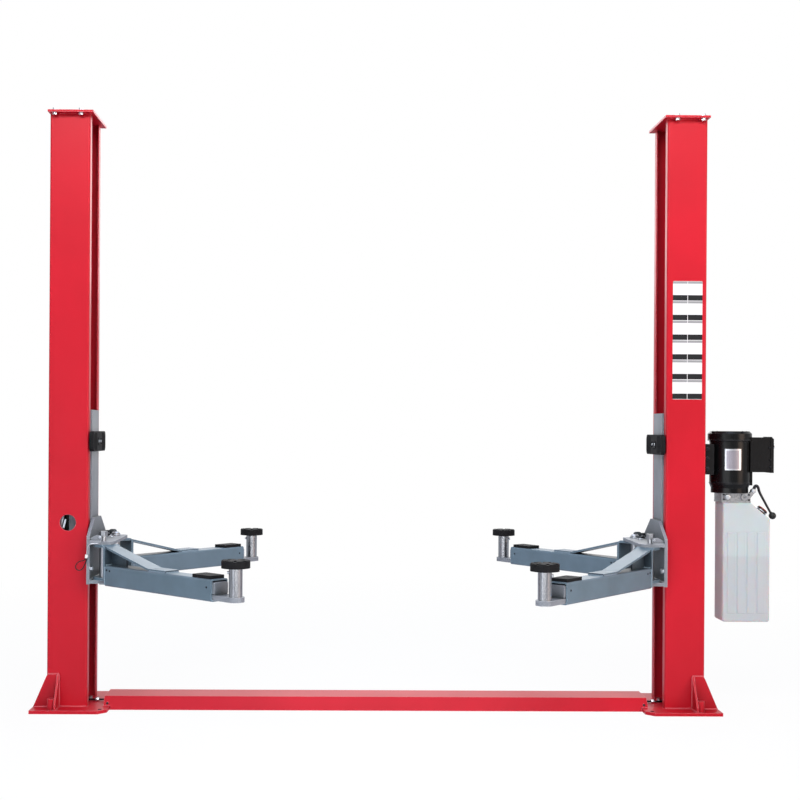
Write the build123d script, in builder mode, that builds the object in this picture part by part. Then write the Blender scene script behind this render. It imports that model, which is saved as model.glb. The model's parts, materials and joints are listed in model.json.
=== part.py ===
"""Two post car lift, floor plate type, in millimetres.

+Z is up, +X runs from the left post to the right post, +Y points away from the viewer.
The origin lies on the floor, midway between the two posts.
"""

import os
from math import cos, radians, sin, tan

from build123d import *

os.makedirs("parts", exist_ok=True)

sides = {"left": -1, "right": 1}
ends = {"front": -1, "rear": 1}

# Posts: bent C sections whose mouths face each other.
post_clear_width = 2740
post_depth = 190
post_width = 260
post_wall = 6
post_lip = 42
post_bend = 9
post_height = 2804
post_inner_x = post_clear_width / 2
post_outer_x = post_inner_x + post_depth
mouth_half = post_width / 2 - post_lip
window_diameter = 77
window_height = 885
window_x = post_inner_x + post_depth / 2

# Base plates with gussets and anchor sleeves.
base_thickness = 16
base_outer_reach = 62
base_inner_reach = 105
base_width = 450
base_corner_cut = 38
base_outer_x = post_outer_x + base_outer_reach
base_inner_x = post_inner_x - base_inner_reach
gusset_thickness = 8
gusset_height = 154
gusset_lap = 60
gusset_slant_start = 140
rib_foot_height = 24
sleeve_diameter = 38
sleeve_height = 50
anchor_diameter = 20
anchor_outer_inset = 36
anchor_inner_inset = 32
anchor_edge = 35
anchor_x = post_outer_x - anchor_outer_inset
anchor_inner_x = base_inner_x + anchor_inner_inset
anchor_y = base_width / 2 - anchor_edge

# Lock latch behind the window: a pawl plate and the bright bar that hooks it back.
latch_thickness = 10
latch_inset = 16
latch_width = 68
latch_bottom = 832
latch_top = 934
latch_slant = 20
latch_eye = 11
latch_eye_inset = 16
latch_bar_width = 7
latch_bar_thickness = 6
latch_bar_top = 900
latch_bar_bottom = 858
latch_bar_lean = 9
latch_bar_clearance = 6
latch_bar_foot = 38

# Cap plates.
cap_thickness = 10
cap_overhang_y = 36
cap_overhang_outer = 4
cap_overhang_inner = 20

# Floor cover between the base plates, with a screw hole at each end of both flanges.
cover_lap = 31
cover_height = 56
cover_top_half = 77
cover_foot_half = 129
cover_sheet = 3
cover_end_gap = 1
cover_hole_diameter = 11
cover_hole_inset = 18
cover_hole_z = 26
cover_half_length = base_inner_x + cover_lap

# Hydraulic cylinders with chain wheels, standing inside the posts.
barrel_diameter = 70
barrel_top = 1180
ram_diameter = 40
wheel_centre_z = 1478
wheel_radius = 40
wheel_width = 18
chain_width = 16
chain_depth = 9
yoke_thickness = 8
yoke_gap = 1
wheel_pin_diameter = 16
wheel_pin_fit = 0.3
cylinder_setback = 124
cylinder_x = post_inner_x + cylinder_setback
chain_end_rise = 120
chain_barrel_lap = 60

# Carriages: a guide channel in the post mouth and the arm bracket welded to it.
carriage_bottom = 602
carriage_top = 1420
channel_side_gap = 10
channel_half = mouth_half - channel_side_gap
channel_wall = 10
channel_front_gap = 8
channel_depth = 108
channel_front_x = post_inner_x - channel_front_gap
slide_gap = 0.8
slide_height = 120
slide_corner = 4
head_thickness = 14
head_shoulder = 826
head_top = 905
head_front_x = channel_front_x - head_thickness
pivot_stand_off = 80
pivot_x = post_inner_x - pivot_stand_off
pivot_y = 160
pivot_plate_reach_x = 55
pivot_plate_reach_y = 42
pivot_plate_corner = 30
head_half = pivot_y + 40
lower_plate_bottom = 606
lower_plate_thickness = 16
upper_plate_top = 803
upper_plate_thickness = 14
plate_lug_y = 188
plate_lug_thickness = 12
plate_lug_reach = 57
plate_lug_crest = 28
plate_lug_heel = 12
plate_lug_height = 28
plate_lug_corner = 10
guard_half = 148
guard_bottom = 1222
guard_height = 96
guard_thickness = 20
guard_corner = 24
pin_diameter = 38
pin_fit = 0.6
pin_below = 8
pin_neck_diameter = 27
pin_neck_height = 23
pin_hex_diameter = 38
pin_hex_height = 22
pin_cap_diameter = 41
pin_cap_height = 17
pin_cap_chamfer = 5

# Swing arms, the same four times.
arm_width = 92
arm_height = 95
arm_wall = 6
arm_corner = 9
arm_bottom = 600
ear_thickness = 12
ear_gap = 0.4
bracket_reach = 62
bracket_bend = 28
strap_start = 58
strap_start_drop = 4
strap_width = 75
strap_thickness = 10
strap_landing = 392
strap_foot_end = 515
arm_web_length = 112
arm_web_thickness = 10
arm_pad_length = 124
arm_pad_setback = 12
arm_pad_width = 80
arm_pad_height = 14

# Arm extensions with their pad posts.
slide_side_gap = 2
slide_floor_gap = 0.5
foot_plate_thickness = 22
box_height = 54
box_wall = 6
box_front_proud = 12
box_length = 420
pad_reach = 940
pad_stand_off = 104
post_sleeve_diameter = 58
post_sleeve_height = 117
stem_diameter = 38
stem_fit = 0.3
stem_bottom_gap = 10
pad_diameter = 122
pad_thickness = 33
pad_neck = 4
pad_chamfer = 3
tread_width = 13
tread_depth = 4
tread_count = 4
tread_hub_diameter = 62

# Each arm rests at its own angle from the line through both posts.
swing_at_rest = {
    ("left", "front"): 43.9,
    ("right", "front"): 49.3,
    ("left", "rear"): 48.6,
    ("right", "rear"): 53.6,
}

# Power unit on the outer face of the right post.
unit_stand_off = 153
unit_x = post_outer_x + unit_stand_off
bracket_bottom = 1128
bracket_height = 146
bracket_half = 66
bracket_sheet = 6
bracket_gap = 0.5
motor_diameter = 190
motor_bell_diameter = 208
motor_height = 298
motor_below_bracket = 89
motor_bottom = bracket_bottom - motor_below_bracket
motor_top = motor_bottom + motor_height
motor_flange_diameter = 176
motor_flange_height = 24
motor_taper_height = 42
motor_top_bell = 46
motor_top_slope = 12
rail_reach = 103
rail_half = 28
rail_bottom = motor_bottom + 36

# Switch box on the motor's side, with a lid and a cable gland.
box_start = 85
box_reach = 197
box_rise = 101
switch_height = 168
box_half = 56
box_corner_cut = 14
box_seat_gap = 0.3
lid_thickness = 15
lid_step = 3
gland_diameter = 32
gland_length = 16
gland_drop = 42
box_left_x = unit_x + box_start
box_right_x = unit_x + box_reach
box_bottom = motor_bottom + box_rise
box_top = box_bottom + switch_height

# Valve block under the motor: a foot flange, a cast boss and a hex plug on its face.
block_height = 46
block_left_reach = 56
block_right_reach = 84
block_half = 60
block_foot_height = 8
block_foot_step = 4
boss_width = 38
boss_height = 20
boss_depth = 7
boss_offset = -30
plug_diameter = 30
plug_hex = 15
plug_depth = 7
plug_offset = 52
block_left_x = unit_x - block_left_reach
block_right_x = unit_x + block_right_reach
block_bottom = motor_bottom - block_height

# Moulded oil tank with upright panels on its front and back.
tank_height = 573
tank_left_reach = 51
tank_right_reach = 177
tank_shoulder_drop = 78
tank_half = 68
tank_edge = 9
tank_foot_corner = 12
panel_count = 4
panel_margin = 22
panel_gap = 8
panel_depth = 2.5
panel_top_drop = 142
panel_foot_rise = 41
tank_left_x = unit_x - tank_left_reach
tank_right_x = unit_x + tank_right_reach
tank_shoulder_x = block_right_x
tank_shoulder_z = block_bottom - tank_shoulder_drop
tank_bottom = block_bottom - tank_height
filler_diameter = 48
filler_height = 26
filler_slide = 16

# Lowering lever at the block's end: a bent rod with a hub and a ball.
lever_stand_off = 18
lever_y = -40
lever_pivot_x = block_right_x + lever_stand_off
lever_pivot_z = motor_bottom + 10
lever_diameter = 9
lever_hub_diameter = 22
lever_hub_half = 6
lever_side_gap = 1
lever_pin_diameter = 8
lever_pin_fit = 0.3
lever_ball_diameter = 35
lever_ball_sides = 12
lever_route = [(4, 6), (8, 26), (24, 24), (30, -4), (86, -105)]
lever_reach_x = 95
lever_drop = 119
cheek_thickness = 5
cheek_radius = 11
cheek_root = 8

# Pull wire of the left carriage: its route, the ferrule and the coated loop at its end.
wire_diameter = 3
ferrule_diameter = 13
ferrule_length = 15
loop_diameter = 5
loop_leg_offset = 3.2
loop_leg_length = 12
wire_start_x = 8
wire_start_drop = 7
wire_route = [
    (0, 0, 0),
    (0, -17, 0),
    (-20, -27, 0),
    (-40, -28, -1),
    (-52, -26, -12),
    (-56, -23, -34),
    (-59, -20, -54),
]
loop_route = [
    (-89, -16, -83),
    (-105, -14, -93),
    (-113, -13, -109),
    (-107, -13, -124),
    (-92, -14, -128),
    (-77, -16, -119),
    (-69, -18, -102),
]

post_top = base_thickness + post_height
web_bottom = lower_plate_bottom + lower_plate_thickness + ear_gap
web_top = upper_plate_top - upper_plate_thickness - ear_gap
ear_span = web_top - web_bottom
arm_top = arm_bottom + arm_height
arm_length = pad_reach - pad_stand_off
arm_pad_start = arm_length - arm_pad_setback - arm_pad_length
tube_start = bracket_reach + ear_thickness
foot_plate_bottom = arm_bottom + arm_wall + slide_floor_gap
foot_plate_top = foot_plate_bottom + foot_plate_thickness
slide_width = arm_width - 2 * arm_wall - 2 * slide_side_gap


def arm_plane(side, end, height=0.0):
    """Plane at an arm's pivot, local x along the arm, z up."""
    angle = radians(swing_at_rest[side, end])
    return Plane(
        origin=(sides[side] * pivot_x, ends[end] * pivot_y, height),
        x_dir=(-sides[side] * cos(angle), ends[end] * sin(angle), 0),
        z_dir=(0, 0, 1),
    )


def arm_section(side, end, along, height):
    """Plane across an arm at a distance from its pivot, local x across, local y up."""
    flat = arm_plane(side, end, height)
    return Plane(
        origin=flat.origin + flat.x_dir * along,
        x_dir=flat.x_dir.cross(Vector(0, 0, 1)),
        z_dir=flat.x_dir * -1,
    )


def arm_profile(side, end):
    """Upright plane through an arm's centre line, local x along the arm, local y up."""
    flat = arm_plane(side, end)
    return Plane(origin=flat.origin, x_dir=flat.x_dir, z_dir=flat.x_dir.cross(Vector(0, 0, 1)))


def corner_radii(points):
    """Arc radius at each inner point, as large as its two runs allow."""
    radii = []
    for before, here, after in zip(points, points[1:], points[2:]):
        arriving, leaving = here - before, after - here
        turn = radians(arriving.get_angle(leaving))
        radii.append(0.45 * min(arriving.length, leaving.length) / tan(turn / 2))
    return radii


def bent_rod(points, diameter):
    """Thin eight-sided rod along straight runs joined by tangent arcs, with its length."""
    with BuildPart() as rod:
        with BuildLine() as route:
            FilletPolyline(*points, radius=corner_radii(points))
        with BuildSketch(Plane(origin=points[0], z_dir=points[1] - points[0])):
            RegularPolygon(diameter / 2, 8)
        sweep(path=route.wire(), transition=Transition.RIGHT)
    return rod.part, route.wire().length


for name, side in sides.items():
    # The C section is one sheet bent four times.
    with BuildPart() as post:
        with BuildSketch(Plane.XY.offset(base_thickness)):
            with Locations((side * (post_inner_x + post_depth / 2), 0)):
                RectangleRounded(post_depth, post_width, post_bend)
                RectangleRounded(
                    post_depth - 2 * post_wall,
                    post_width - 2 * post_wall,
                    post_bend - post_wall,
                    mode=Mode.SUBTRACT,
                )
            with Locations((side * post_inner_x, 0)):
                Rectangle(4 * post_wall, 2 * mouth_half, mode=Mode.SUBTRACT)
        extrude(amount=post_height)
        # The lock window looks out at the front of the left post and the back of the right one.
        with Locations(
            Plane(
                origin=(side * window_x, side * post_width / 2, window_height),
                z_dir=(0, side, 0),
            )
        ):
            Hole(window_diameter / 2, depth=3 * post_wall)
    post.part.label = f"{name}_post"
    export_step(post.part, f"parts/{name}_post.step")

    # Base plate, gussets against the post and sleeves over the outer anchor holes.
    with BuildPart() as base:
        with BuildSketch():
            with BuildLine():
                Polyline(
                    (side * base_outer_x, -base_width / 2),
                    (side * (base_inner_x + base_corner_cut), -base_width / 2),
                    (side * base_inner_x, -base_width / 2 + base_corner_cut),
                    (side * base_inner_x, base_width / 2 - base_corner_cut),
                    (side * (base_inner_x + base_corner_cut), base_width / 2),
                    (side * base_outer_x, base_width / 2),
                    close=True,
                )
            make_face()
        extrude(amount=base_thickness)
        for end in ends.values():
            face_y = end * (post_width / 2)
            gusset_mid_y = face_y + end * gusset_thickness / 2
            with BuildSketch(Plane.XZ.offset(-gusset_mid_y)):
                with BuildLine():
                    Polyline(
                        (side * base_outer_x, base_thickness),
                        (side * (post_outer_x + 2), base_thickness + gusset_slant_start),
                        (side * (post_outer_x - 6), base_thickness + gusset_height),
                        (side * (post_outer_x - gusset_lap), base_thickness + gusset_height),
                        (side * (post_outer_x - gusset_lap), base_thickness),
                        close=True,
                    )
                make_face()
            extrude(amount=gusset_thickness / 2, both=True)
            # A rib stands across the gusset, from the post to the plate's edge.
            rib_x = side * (post_outer_x - gusset_lap + gusset_thickness / 2)
            rib_start_y = face_y + end * gusset_thickness
            rib_end_y = end * (base_width / 2 - 6)
            with BuildSketch(Plane.YZ.offset(rib_x)):
                with BuildLine():
                    Polyline(
                        (rib_start_y, base_thickness),
                        (rib_start_y, base_thickness + gusset_height),
                        (rib_end_y, base_thickness + rib_foot_height),
                        (rib_end_y, base_thickness),
                        close=True,
                    )
                make_face()
            extrude(amount=gusset_thickness / 2, both=True)
            with BuildSketch(Plane.XY.offset(base_thickness)):
                with Locations((side * anchor_x, end * anchor_y)):
                    Circle(sleeve_diameter / 2)
            extrude(amount=sleeve_height)
        with Locations(
            *[
                (side * x, end * anchor_y, base_thickness + sleeve_height)
                for x in (anchor_x, anchor_inner_x)
                for end in ends.values()
            ]
        ):
            Hole(anchor_diameter / 2, depth=base_thickness + sleeve_height)
    base.part.label = f"{name}_base_plate"
    export_step(base.part, f"parts/{name}_base_plate.step")

    # Lock latch: a pawl plate on the post's back wall with a slanted bar before it.
    with BuildPart() as latch:
        latch_back_x = post_outer_x - post_wall
        latch_edge_x = latch_back_x - latch_width
        latch_face = post_width / 2 - post_wall - latch_inset
        with BuildSketch(Plane.XZ.offset(-side * (latch_face - latch_thickness / 2))):
            with BuildLine():
                Polyline(
                    (side * latch_back_x, latch_bottom),
                    (side * (latch_edge_x + latch_slant), latch_bottom),
                    (side * latch_edge_x, latch_top - latch_eye),
                    (side * (latch_edge_x + latch_eye), latch_top),
                    (side * latch_back_x, latch_top),
                    close=True,
                )
            make_face()
            with Locations((side * (latch_edge_x + latch_eye_inset), latch_top - 2 * latch_eye)):
                Circle(latch_eye / 2, mode=Mode.SUBTRACT)
        extrude(amount=latch_thickness / 2, both=True)
        bar_x = channel_front_x + channel_depth + latch_bar_clearance
        with BuildSketch(Plane.XZ.offset(-side * (latch_face + latch_bar_thickness / 2))):
            with BuildLine():
                Polyline(
                    (side * bar_x, latch_bar_top),
                    (side * (bar_x + latch_bar_width), latch_bar_top),
                    (
                        side * (bar_x + latch_bar_width + latch_bar_lean),
                        latch_bar_bottom + latch_bar_width,
                    ),
                    (side * (bar_x + latch_bar_foot), latch_bar_bottom + latch_bar_width),
                    (side * (bar_x + latch_bar_foot), latch_bar_bottom),
                    (side * (bar_x + latch_bar_lean), latch_bar_bottom),
                    close=True,
                )
            make_face()
        extrude(amount=latch_bar_thickness / 2, both=True)
    latch.part.label = f"{name}_lock_latch"
    export_step(latch.part, f"parts/{name}_lock_latch.step")

    with BuildPart() as cap:
        cap_inner_x = post_inner_x - cap_overhang_inner
        cap_outer_x = post_outer_x + cap_overhang_outer
        with BuildSketch(Plane.XY.offset(post_top)):
            with Locations((side * (cap_inner_x + cap_outer_x) / 2, 0)):
                Rectangle(cap_outer_x - cap_inner_x, post_width + 2 * cap_overhang_y)
        extrude(amount=cap_thickness)
    cap.part.label = f"{name}_cap_plate"
    export_step(cap.part, f"parts/{name}_cap_plate.step")

    # Cylinder barrel on the base plate, with a gland ring at its top.
    with BuildPart() as barrel:
        with BuildSketch(Plane.XY.offset(base_thickness)):
            with Locations((side * cylinder_x, 0)):
                Circle(barrel_diameter / 2)
        extrude(amount=barrel_top - base_thickness)
    barrel.part.label = f"{name}_cylinder_barrel"
    export_step(barrel.part, f"parts/{name}_cylinder_barrel.step")

    # Ram with its yoke.
    with BuildPart() as ram:
        yoke_bottom = wheel_centre_z - wheel_radius - chain_depth - 22
        with BuildSketch(Plane.XY.offset(barrel_top)):
            with Locations((side * cylinder_x, 0)):
                Circle(ram_diameter / 2)
        extrude(amount=yoke_bottom - barrel_top)
        yoke_half = wheel_width / 2 + yoke_gap + yoke_thickness
        with BuildSketch(Plane.XY.offset(yoke_bottom)):
            with Locations((side * cylinder_x, 0)):
                Rectangle(ram_diameter, 2 * yoke_half)
        extrude(amount=yoke_thickness + 4)
        for cheek in (-1, 1):
            cheek_y = cheek * (yoke_half - yoke_thickness / 2)
            with BuildSketch(Plane.XZ.offset(-cheek_y)):
                with Locations((side * cylinder_x, wheel_centre_z)):
                    Circle(ram_diameter / 2)
                with Locations((side * cylinder_x, (yoke_bottom + wheel_centre_z) / 2)):
                    Rectangle(ram_diameter, wheel_centre_z - yoke_bottom)
            extrude(amount=yoke_thickness / 2, both=True)
        with BuildSketch(Plane.XZ):
            with Locations((side * cylinder_x, wheel_centre_z)):
                Circle(wheel_pin_diameter / 2)
        extrude(amount=yoke_half, both=True)
    ram.part.label = f"{name}_ram"
    export_step(ram.part, f"parts/{name}_ram.step")

    with BuildPart() as wheel:
        with BuildSketch(Plane.XZ):
            with Locations((side * cylinder_x, wheel_centre_z)):
                Circle(wheel_radius)
                Circle(wheel_pin_diameter / 2 + wheel_pin_fit, mode=Mode.SUBTRACT)
        extrude(amount=wheel_width / 2, both=True)
    wheel.part.label = f"{name}_chain_wheel"
    export_step(wheel.part, f"parts/{name}_chain_wheel.step")

    # Leaf chain over the wheel: one run to the carriage, one to the barrel's top.
    with BuildPart() as chain:
        chain_inner = wheel_radius + wheel_pin_fit
        chain_outer = chain_inner + chain_depth
        front_end = carriage_bottom + chain_end_rise
        with BuildSketch(Plane.XZ):
            with Locations((side * cylinder_x, wheel_centre_z)):
                Circle(chain_outer)
                Circle(chain_inner, mode=Mode.SUBTRACT)
            with Locations((side * cylinder_x, wheel_centre_z - chain_outer)):
                Rectangle(2 * chain_outer, 2 * chain_outer, mode=Mode.SUBTRACT)
            run_offset = chain_inner + chain_depth / 2
            for direction, lower in ((-1, front_end), (1, barrel_top - chain_barrel_lap)):
                with Locations(
                    (side * (cylinder_x + direction * run_offset), (wheel_centre_z + lower) / 2)
                ):
                    Rectangle(chain_depth, wheel_centre_z - lower)
        extrude(amount=chain_width / 2, both=True)
    chain.part.label = f"{name}_lift_chain"
    export_step(chain.part, f"parts/{name}_lift_chain.step")

    # Carriage weldment: guide channel, head plate and pivot plates with a lug at each end.
    with BuildPart() as carriage:
        with BuildSketch(Plane.XY.offset(carriage_bottom)):
            with Locations((side * (channel_front_x + channel_depth / 2), 0)):
                Rectangle(channel_depth, 2 * channel_half)
            with Locations((side * (channel_front_x + channel_wall + channel_depth / 2), 0)):
                Rectangle(channel_depth, 2 * (channel_half - channel_wall), mode=Mode.SUBTRACT)
        extrude(amount=carriage_top - carriage_bottom)
        with BuildSketch(Plane.YZ.offset(side * (channel_front_x - head_thickness / 2))):
            with BuildLine():
                Polyline(
                    (-head_half, carriage_bottom),
                    (-head_half, head_shoulder),
                    (-channel_half, head_top),
                    (channel_half, head_top),
                    (head_half, head_shoulder),
                    (head_half, carriage_bottom),
                    close=True,
                )
            make_face()
        extrude(amount=head_thickness / 2, both=True)
        plate_edge_x = pivot_x - pivot_plate_reach_x
        plate_half_y = pivot_y + pivot_plate_reach_y
        for bottom, thickness in (
            (lower_plate_bottom, lower_plate_thickness),
            (upper_plate_top - upper_plate_thickness, upper_plate_thickness),
        ):
            with BuildSketch(Plane.XY.offset(bottom)) as plate_sketch:
                with Locations((side * (plate_edge_x + head_front_x) / 2, 0)):
                    Rectangle(head_front_x - plate_edge_x, 2 * plate_half_y)
                free_corners = plate_sketch.vertices().group_by(Axis.X)[0 if side > 0 else -1]
                fillet(free_corners, pivot_plate_corner)
                with Locations(*[(side * pivot_x, end * pivot_y) for end in ends.values()]):
                    Circle(pin_diameter / 2, mode=Mode.SUBTRACT)
            extrude(amount=thickness)
        for end in ends.values():
            with BuildSketch(Plane.XZ.offset(-end * plate_lug_y)) as lug:
                with BuildLine():
                    Polyline(
                        (side * head_front_x, upper_plate_top),
                        (side * head_front_x, upper_plate_top + plate_lug_heel),
                        (
                            side * (head_front_x - plate_lug_crest),
                            upper_plate_top + plate_lug_height,
                        ),
                        (
                            side * (head_front_x - plate_lug_reach),
                            upper_plate_top + plate_lug_height,
                        ),
                        (side * (head_front_x - plate_lug_reach), upper_plate_top),
                        close=True,
                    )
                make_face()
                fillet(lug.vertices().group_by(Axis.Y)[-1], plate_lug_corner)
            extrude(amount=plate_lug_thickness / 2, both=True)
    carriage.part.label = f"{name}_carriage"
    export_step(carriage.part, f"parts/{name}_carriage.step")

    # Nylon slide blocks run behind the lips and along the side walls.
    with BuildPart() as slides:
        block_front = post_inner_x + post_wall + slide_gap
        block_back = channel_front_x + channel_depth
        block_outer = post_width / 2 - post_wall - slide_gap
        for bottom in (carriage_bottom, carriage_top - slide_height):
            with BuildSketch(Plane.XY.offset(bottom)):
                for end in ends.values():
                    with Locations(
                        (side * (block_front + block_back) / 2, end * (channel_half + block_outer) / 2)
                    ):
                        Rectangle(block_back - block_front, block_outer - channel_half)
            extrude(amount=slide_height)
        chamfer(slides.edges().filter_by(Axis.Z), slide_corner)
    slides.part.label = f"{name}_slide_blocks"
    export_step(slides.part, f"parts/{name}_slide_blocks.step")

    with BuildPart() as guard:
        with BuildSketch(Plane.YZ.offset(side * (channel_front_x - guard_thickness / 2))):
            with Locations((0, guard_bottom + guard_height / 2)):
                RectangleRounded(2 * guard_half, guard_height, guard_corner)
        extrude(amount=guard_thickness / 2, both=True)
    guard.part.label = f"{name}_door_guard"
    export_step(guard.part, f"parts/{name}_door_guard.step")

    # Pivot pins: a hex head on a neck over the front one, a low cap over the rear one.
    with BuildPart() as pins:
        for end in ends.values():
            with BuildSketch(Plane.XY.offset(lower_plate_bottom - pin_below)):
                with Locations((side * pivot_x, end * pivot_y)):
                    Circle(pin_diameter / 2)
            extrude(amount=upper_plate_top - lower_plate_bottom + pin_below)
        with BuildSketch(Plane.XY.offset(upper_plate_top)):
            with Locations((side * pivot_x, ends["rear"] * pivot_y)):
                Circle(pin_cap_diameter / 2)
        extrude(amount=pin_cap_height)
        chamfer(pins.faces().sort_by(Axis.Z)[-1].edges(), pin_cap_chamfer)
        with BuildSketch(Plane.XY.offset(upper_plate_top)):
            with Locations((side * pivot_x, ends["front"] * pivot_y)):
                Circle(pin_neck_diameter / 2)
        extrude(amount=pin_neck_height)
        with BuildSketch(Plane.XY.offset(upper_plate_top + pin_neck_height)):
            with Locations((side * pivot_x, ends["front"] * pivot_y)):
                RegularPolygon(pin_hex_diameter / 2, 6)
        extrude(amount=pin_hex_height)
    pins.part.label = f"{name}_pivot_pins"
    export_step(pins.part, f"parts/{name}_pivot_pins.step")

    for end_name in ends:
        label = f"{name}_{end_name}"
        flat = arm_plane(name, end_name)
        profile = arm_profile(name, end_name)

        # Outer arm: pivot bracket, square tube, strap and web in one weldment.
        with BuildPart() as arm:
            # The bracket is one plate, bent round at its top and rounded about the pin.
            with BuildSketch(profile) as bracket:
                with BuildLine():
                    Polyline(
                        (-arm_width / 2, web_bottom),
                        (tube_start, web_bottom),
                        (tube_start, web_top),
                        (-arm_width / 2, web_top),
                        (-arm_width / 2, web_top - ear_thickness),
                        (bracket_reach, web_top - ear_thickness),
                        (bracket_reach, web_bottom + ear_thickness),
                        (-arm_width / 2, web_bottom + ear_thickness),
                        close=True,
                    )
                make_face()
                outer_corner, inner_corner = [
                    bracket.vertices().group_by(Axis.X)[step].sort_by(Axis.Y)[-1] for step in (-1, -2)
                ]
                fillet(outer_corner, bracket_bend)
                fillet(inner_corner, bracket_bend - ear_thickness)
            extrude(amount=arm_width / 2, both=True)
            with BuildSketch(flat.offset(web_bottom)):
                Circle(arm_width / 2)
                with Locations((tube_start / 2, 0)):
                    Rectangle(tube_start, arm_width)
                Circle(pin_diameter / 2 + pin_fit, mode=Mode.SUBTRACT)
            extrude(amount=ear_span, mode=Mode.INTERSECT)
            tube_plane = arm_section(name, end_name, tube_start, arm_bottom + arm_height / 2)
            with BuildSketch(tube_plane):
                RectangleRounded(arm_width, arm_height, arm_corner)
                RectangleRounded(
                    arm_width - 2 * arm_wall,
                    arm_height - 2 * arm_wall,
                    arm_corner - arm_wall,
                    mode=Mode.SUBTRACT,
                )
            extrude(amount=-(arm_length - tube_start))
            strap_top = web_top - strap_start_drop
            strap_foot = strap_top - strap_thickness
            with BuildSketch(profile):
                with BuildLine():
                    Polyline(
                        (strap_start, strap_top),
                        (strap_landing, arm_top + strap_thickness),
                        (strap_foot_end, arm_top + strap_thickness),
                        (strap_foot_end, arm_top),
                        (strap_landing, arm_top),
                        (strap_start, strap_foot),
                        close=True,
                    )
                make_face()
            extrude(amount=strap_width / 2, both=True)
            # Only the front arms have a web under the strap.
            if end_name == "front":
                strap_drop = (strap_foot - arm_top) / (strap_landing - strap_start)
                web_end = tube_start + arm_web_length
                with BuildSketch(profile):
                    with BuildLine():
                        Polyline(
                            (tube_start, arm_top),
                            (tube_start, strap_foot - strap_drop * (tube_start - strap_start)),
                            (web_end, strap_foot - strap_drop * (web_end - strap_start)),
                            (web_end, arm_top),
                            close=True,
                        )
                    make_face()
                extrude(amount=arm_web_thickness / 2, both=True)
        arm.part.label = f"{label}_arm"
        export_step(arm.part, f"parts/{label}_arm.step")

        with BuildPart() as arm_pad:
            with BuildSketch(flat.offset(arm_top)):
                with Locations((arm_pad_start + arm_pad_length / 2, 0)):
                    RectangleRounded(arm_pad_length, arm_pad_width, 6)
            extrude(amount=arm_pad_height)
        arm_pad.part.label = f"{label}_arm_pad"
        export_step(arm_pad.part, f"parts/{label}_arm_pad.step")

        # Extension: a box that slides in the arm on a thick foot plate.
        with BuildPart() as extension:
            box_front = arm_length + box_front_proud
            with BuildSketch(flat.offset(foot_plate_bottom)):
                with Locations(((box_front - box_length + pad_reach) / 2, 0)):
                    Rectangle(pad_reach - box_front + box_length, slide_width)
                with Locations((pad_reach, 0)):
                    Circle(slide_width / 2)
            extrude(amount=foot_plate_thickness)
            box_plane = arm_section(
                name, end_name, box_front - box_length, foot_plate_top + box_height / 2
            )
            with BuildSketch(box_plane):
                RectangleRounded(slide_width, box_height, 8)
                with Locations((0, -box_wall)):
                    Rectangle(slide_width - 2 * box_wall, box_height, mode=Mode.SUBTRACT)
            extrude(amount=-(box_length - box_wall))
            end_plane = arm_section(
                name, end_name, box_front - box_wall, foot_plate_top + box_height / 2
            )
            with BuildSketch(end_plane):
                RectangleRounded(slide_width, box_height, 8)
            extrude(amount=-box_wall)
        extension.part.label = f"{label}_extension"
        export_step(extension.part, f"parts/{label}_extension.step")

        with BuildPart() as pad_post:
            with BuildSketch(flat.offset(foot_plate_top)):
                with Locations((pad_reach, 0)):
                    Circle(post_sleeve_diameter / 2)
                    Circle(stem_diameter / 2 + stem_fit, mode=Mode.SUBTRACT)
            extrude(amount=post_sleeve_height)
        pad_post.part.label = f"{label}_pad_post"
        export_step(pad_post.part, f"parts/{label}_pad_post.step")

        with BuildPart() as pad:
            sleeve_top = foot_plate_top + post_sleeve_height
            with BuildSketch(flat.offset(foot_plate_top + stem_bottom_gap)):
                with Locations((pad_reach, 0)):
                    Circle(stem_diameter / 2)
            extrude(amount=post_sleeve_height + pad_neck - stem_bottom_gap)
            with BuildSketch(flat.offset(sleeve_top + pad_neck)):
                with Locations((pad_reach, 0)):
                    Circle(pad_diameter / 2)
            extrude(amount=pad_thickness)
            chamfer(pad.edges().group_by(Axis.Z)[-1], pad_chamfer)
            with BuildSketch(flat.offset(sleeve_top + pad_neck + pad_thickness - tread_depth)):
                with Locations((pad_reach, 0)):
                    for turn in range(tread_count):
                        Rectangle(2 * pad_diameter, tread_width, rotation=180 / tread_count * turn)
                    Circle(tread_hub_diameter / 2, mode=Mode.SUBTRACT)
            extrude(amount=tread_depth, mode=Mode.SUBTRACT)
        pad.part.label = f"{label}_lift_pad"
        export_step(pad.part, f"parts/{label}_lift_pad.step")

# Floor cover: a flat top with two sloping flanges, cut back where it lies on the base plates.
with BuildPart() as cover:
    with BuildSketch(Plane.YZ.offset(-cover_half_length)):
        with BuildLine():
            Polyline(
                (-cover_foot_half, 0),
                (-cover_top_half, cover_height),
                (cover_top_half, cover_height),
                (cover_foot_half, 0),
                (cover_foot_half - cover_sheet, 0),
                (cover_top_half - cover_sheet / 2, cover_height - cover_sheet),
                (-cover_top_half + cover_sheet / 2, cover_height - cover_sheet),
                (-cover_foot_half + cover_sheet, 0),
                close=True,
            )
        make_face()
    extrude(amount=2 * cover_half_length)
    with BuildSketch():
        for side in sides.values():
            with Locations((side * (base_inner_x - cover_end_gap + base_width / 2), 0)):
                Rectangle(base_width, base_width)
    extrude(amount=base_thickness, mode=Mode.SUBTRACT)
    with BuildSketch(Plane.XZ):
        for side in sides.values():
            with Locations((side * (cover_half_length - cover_hole_inset), cover_hole_z)):
                Circle(cover_hole_diameter / 2)
    extrude(amount=cover_foot_half, both=True, mode=Mode.SUBTRACT)
cover.part.label = "floor_cover"
export_step(cover.part, "parts/floor_cover.step")

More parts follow.
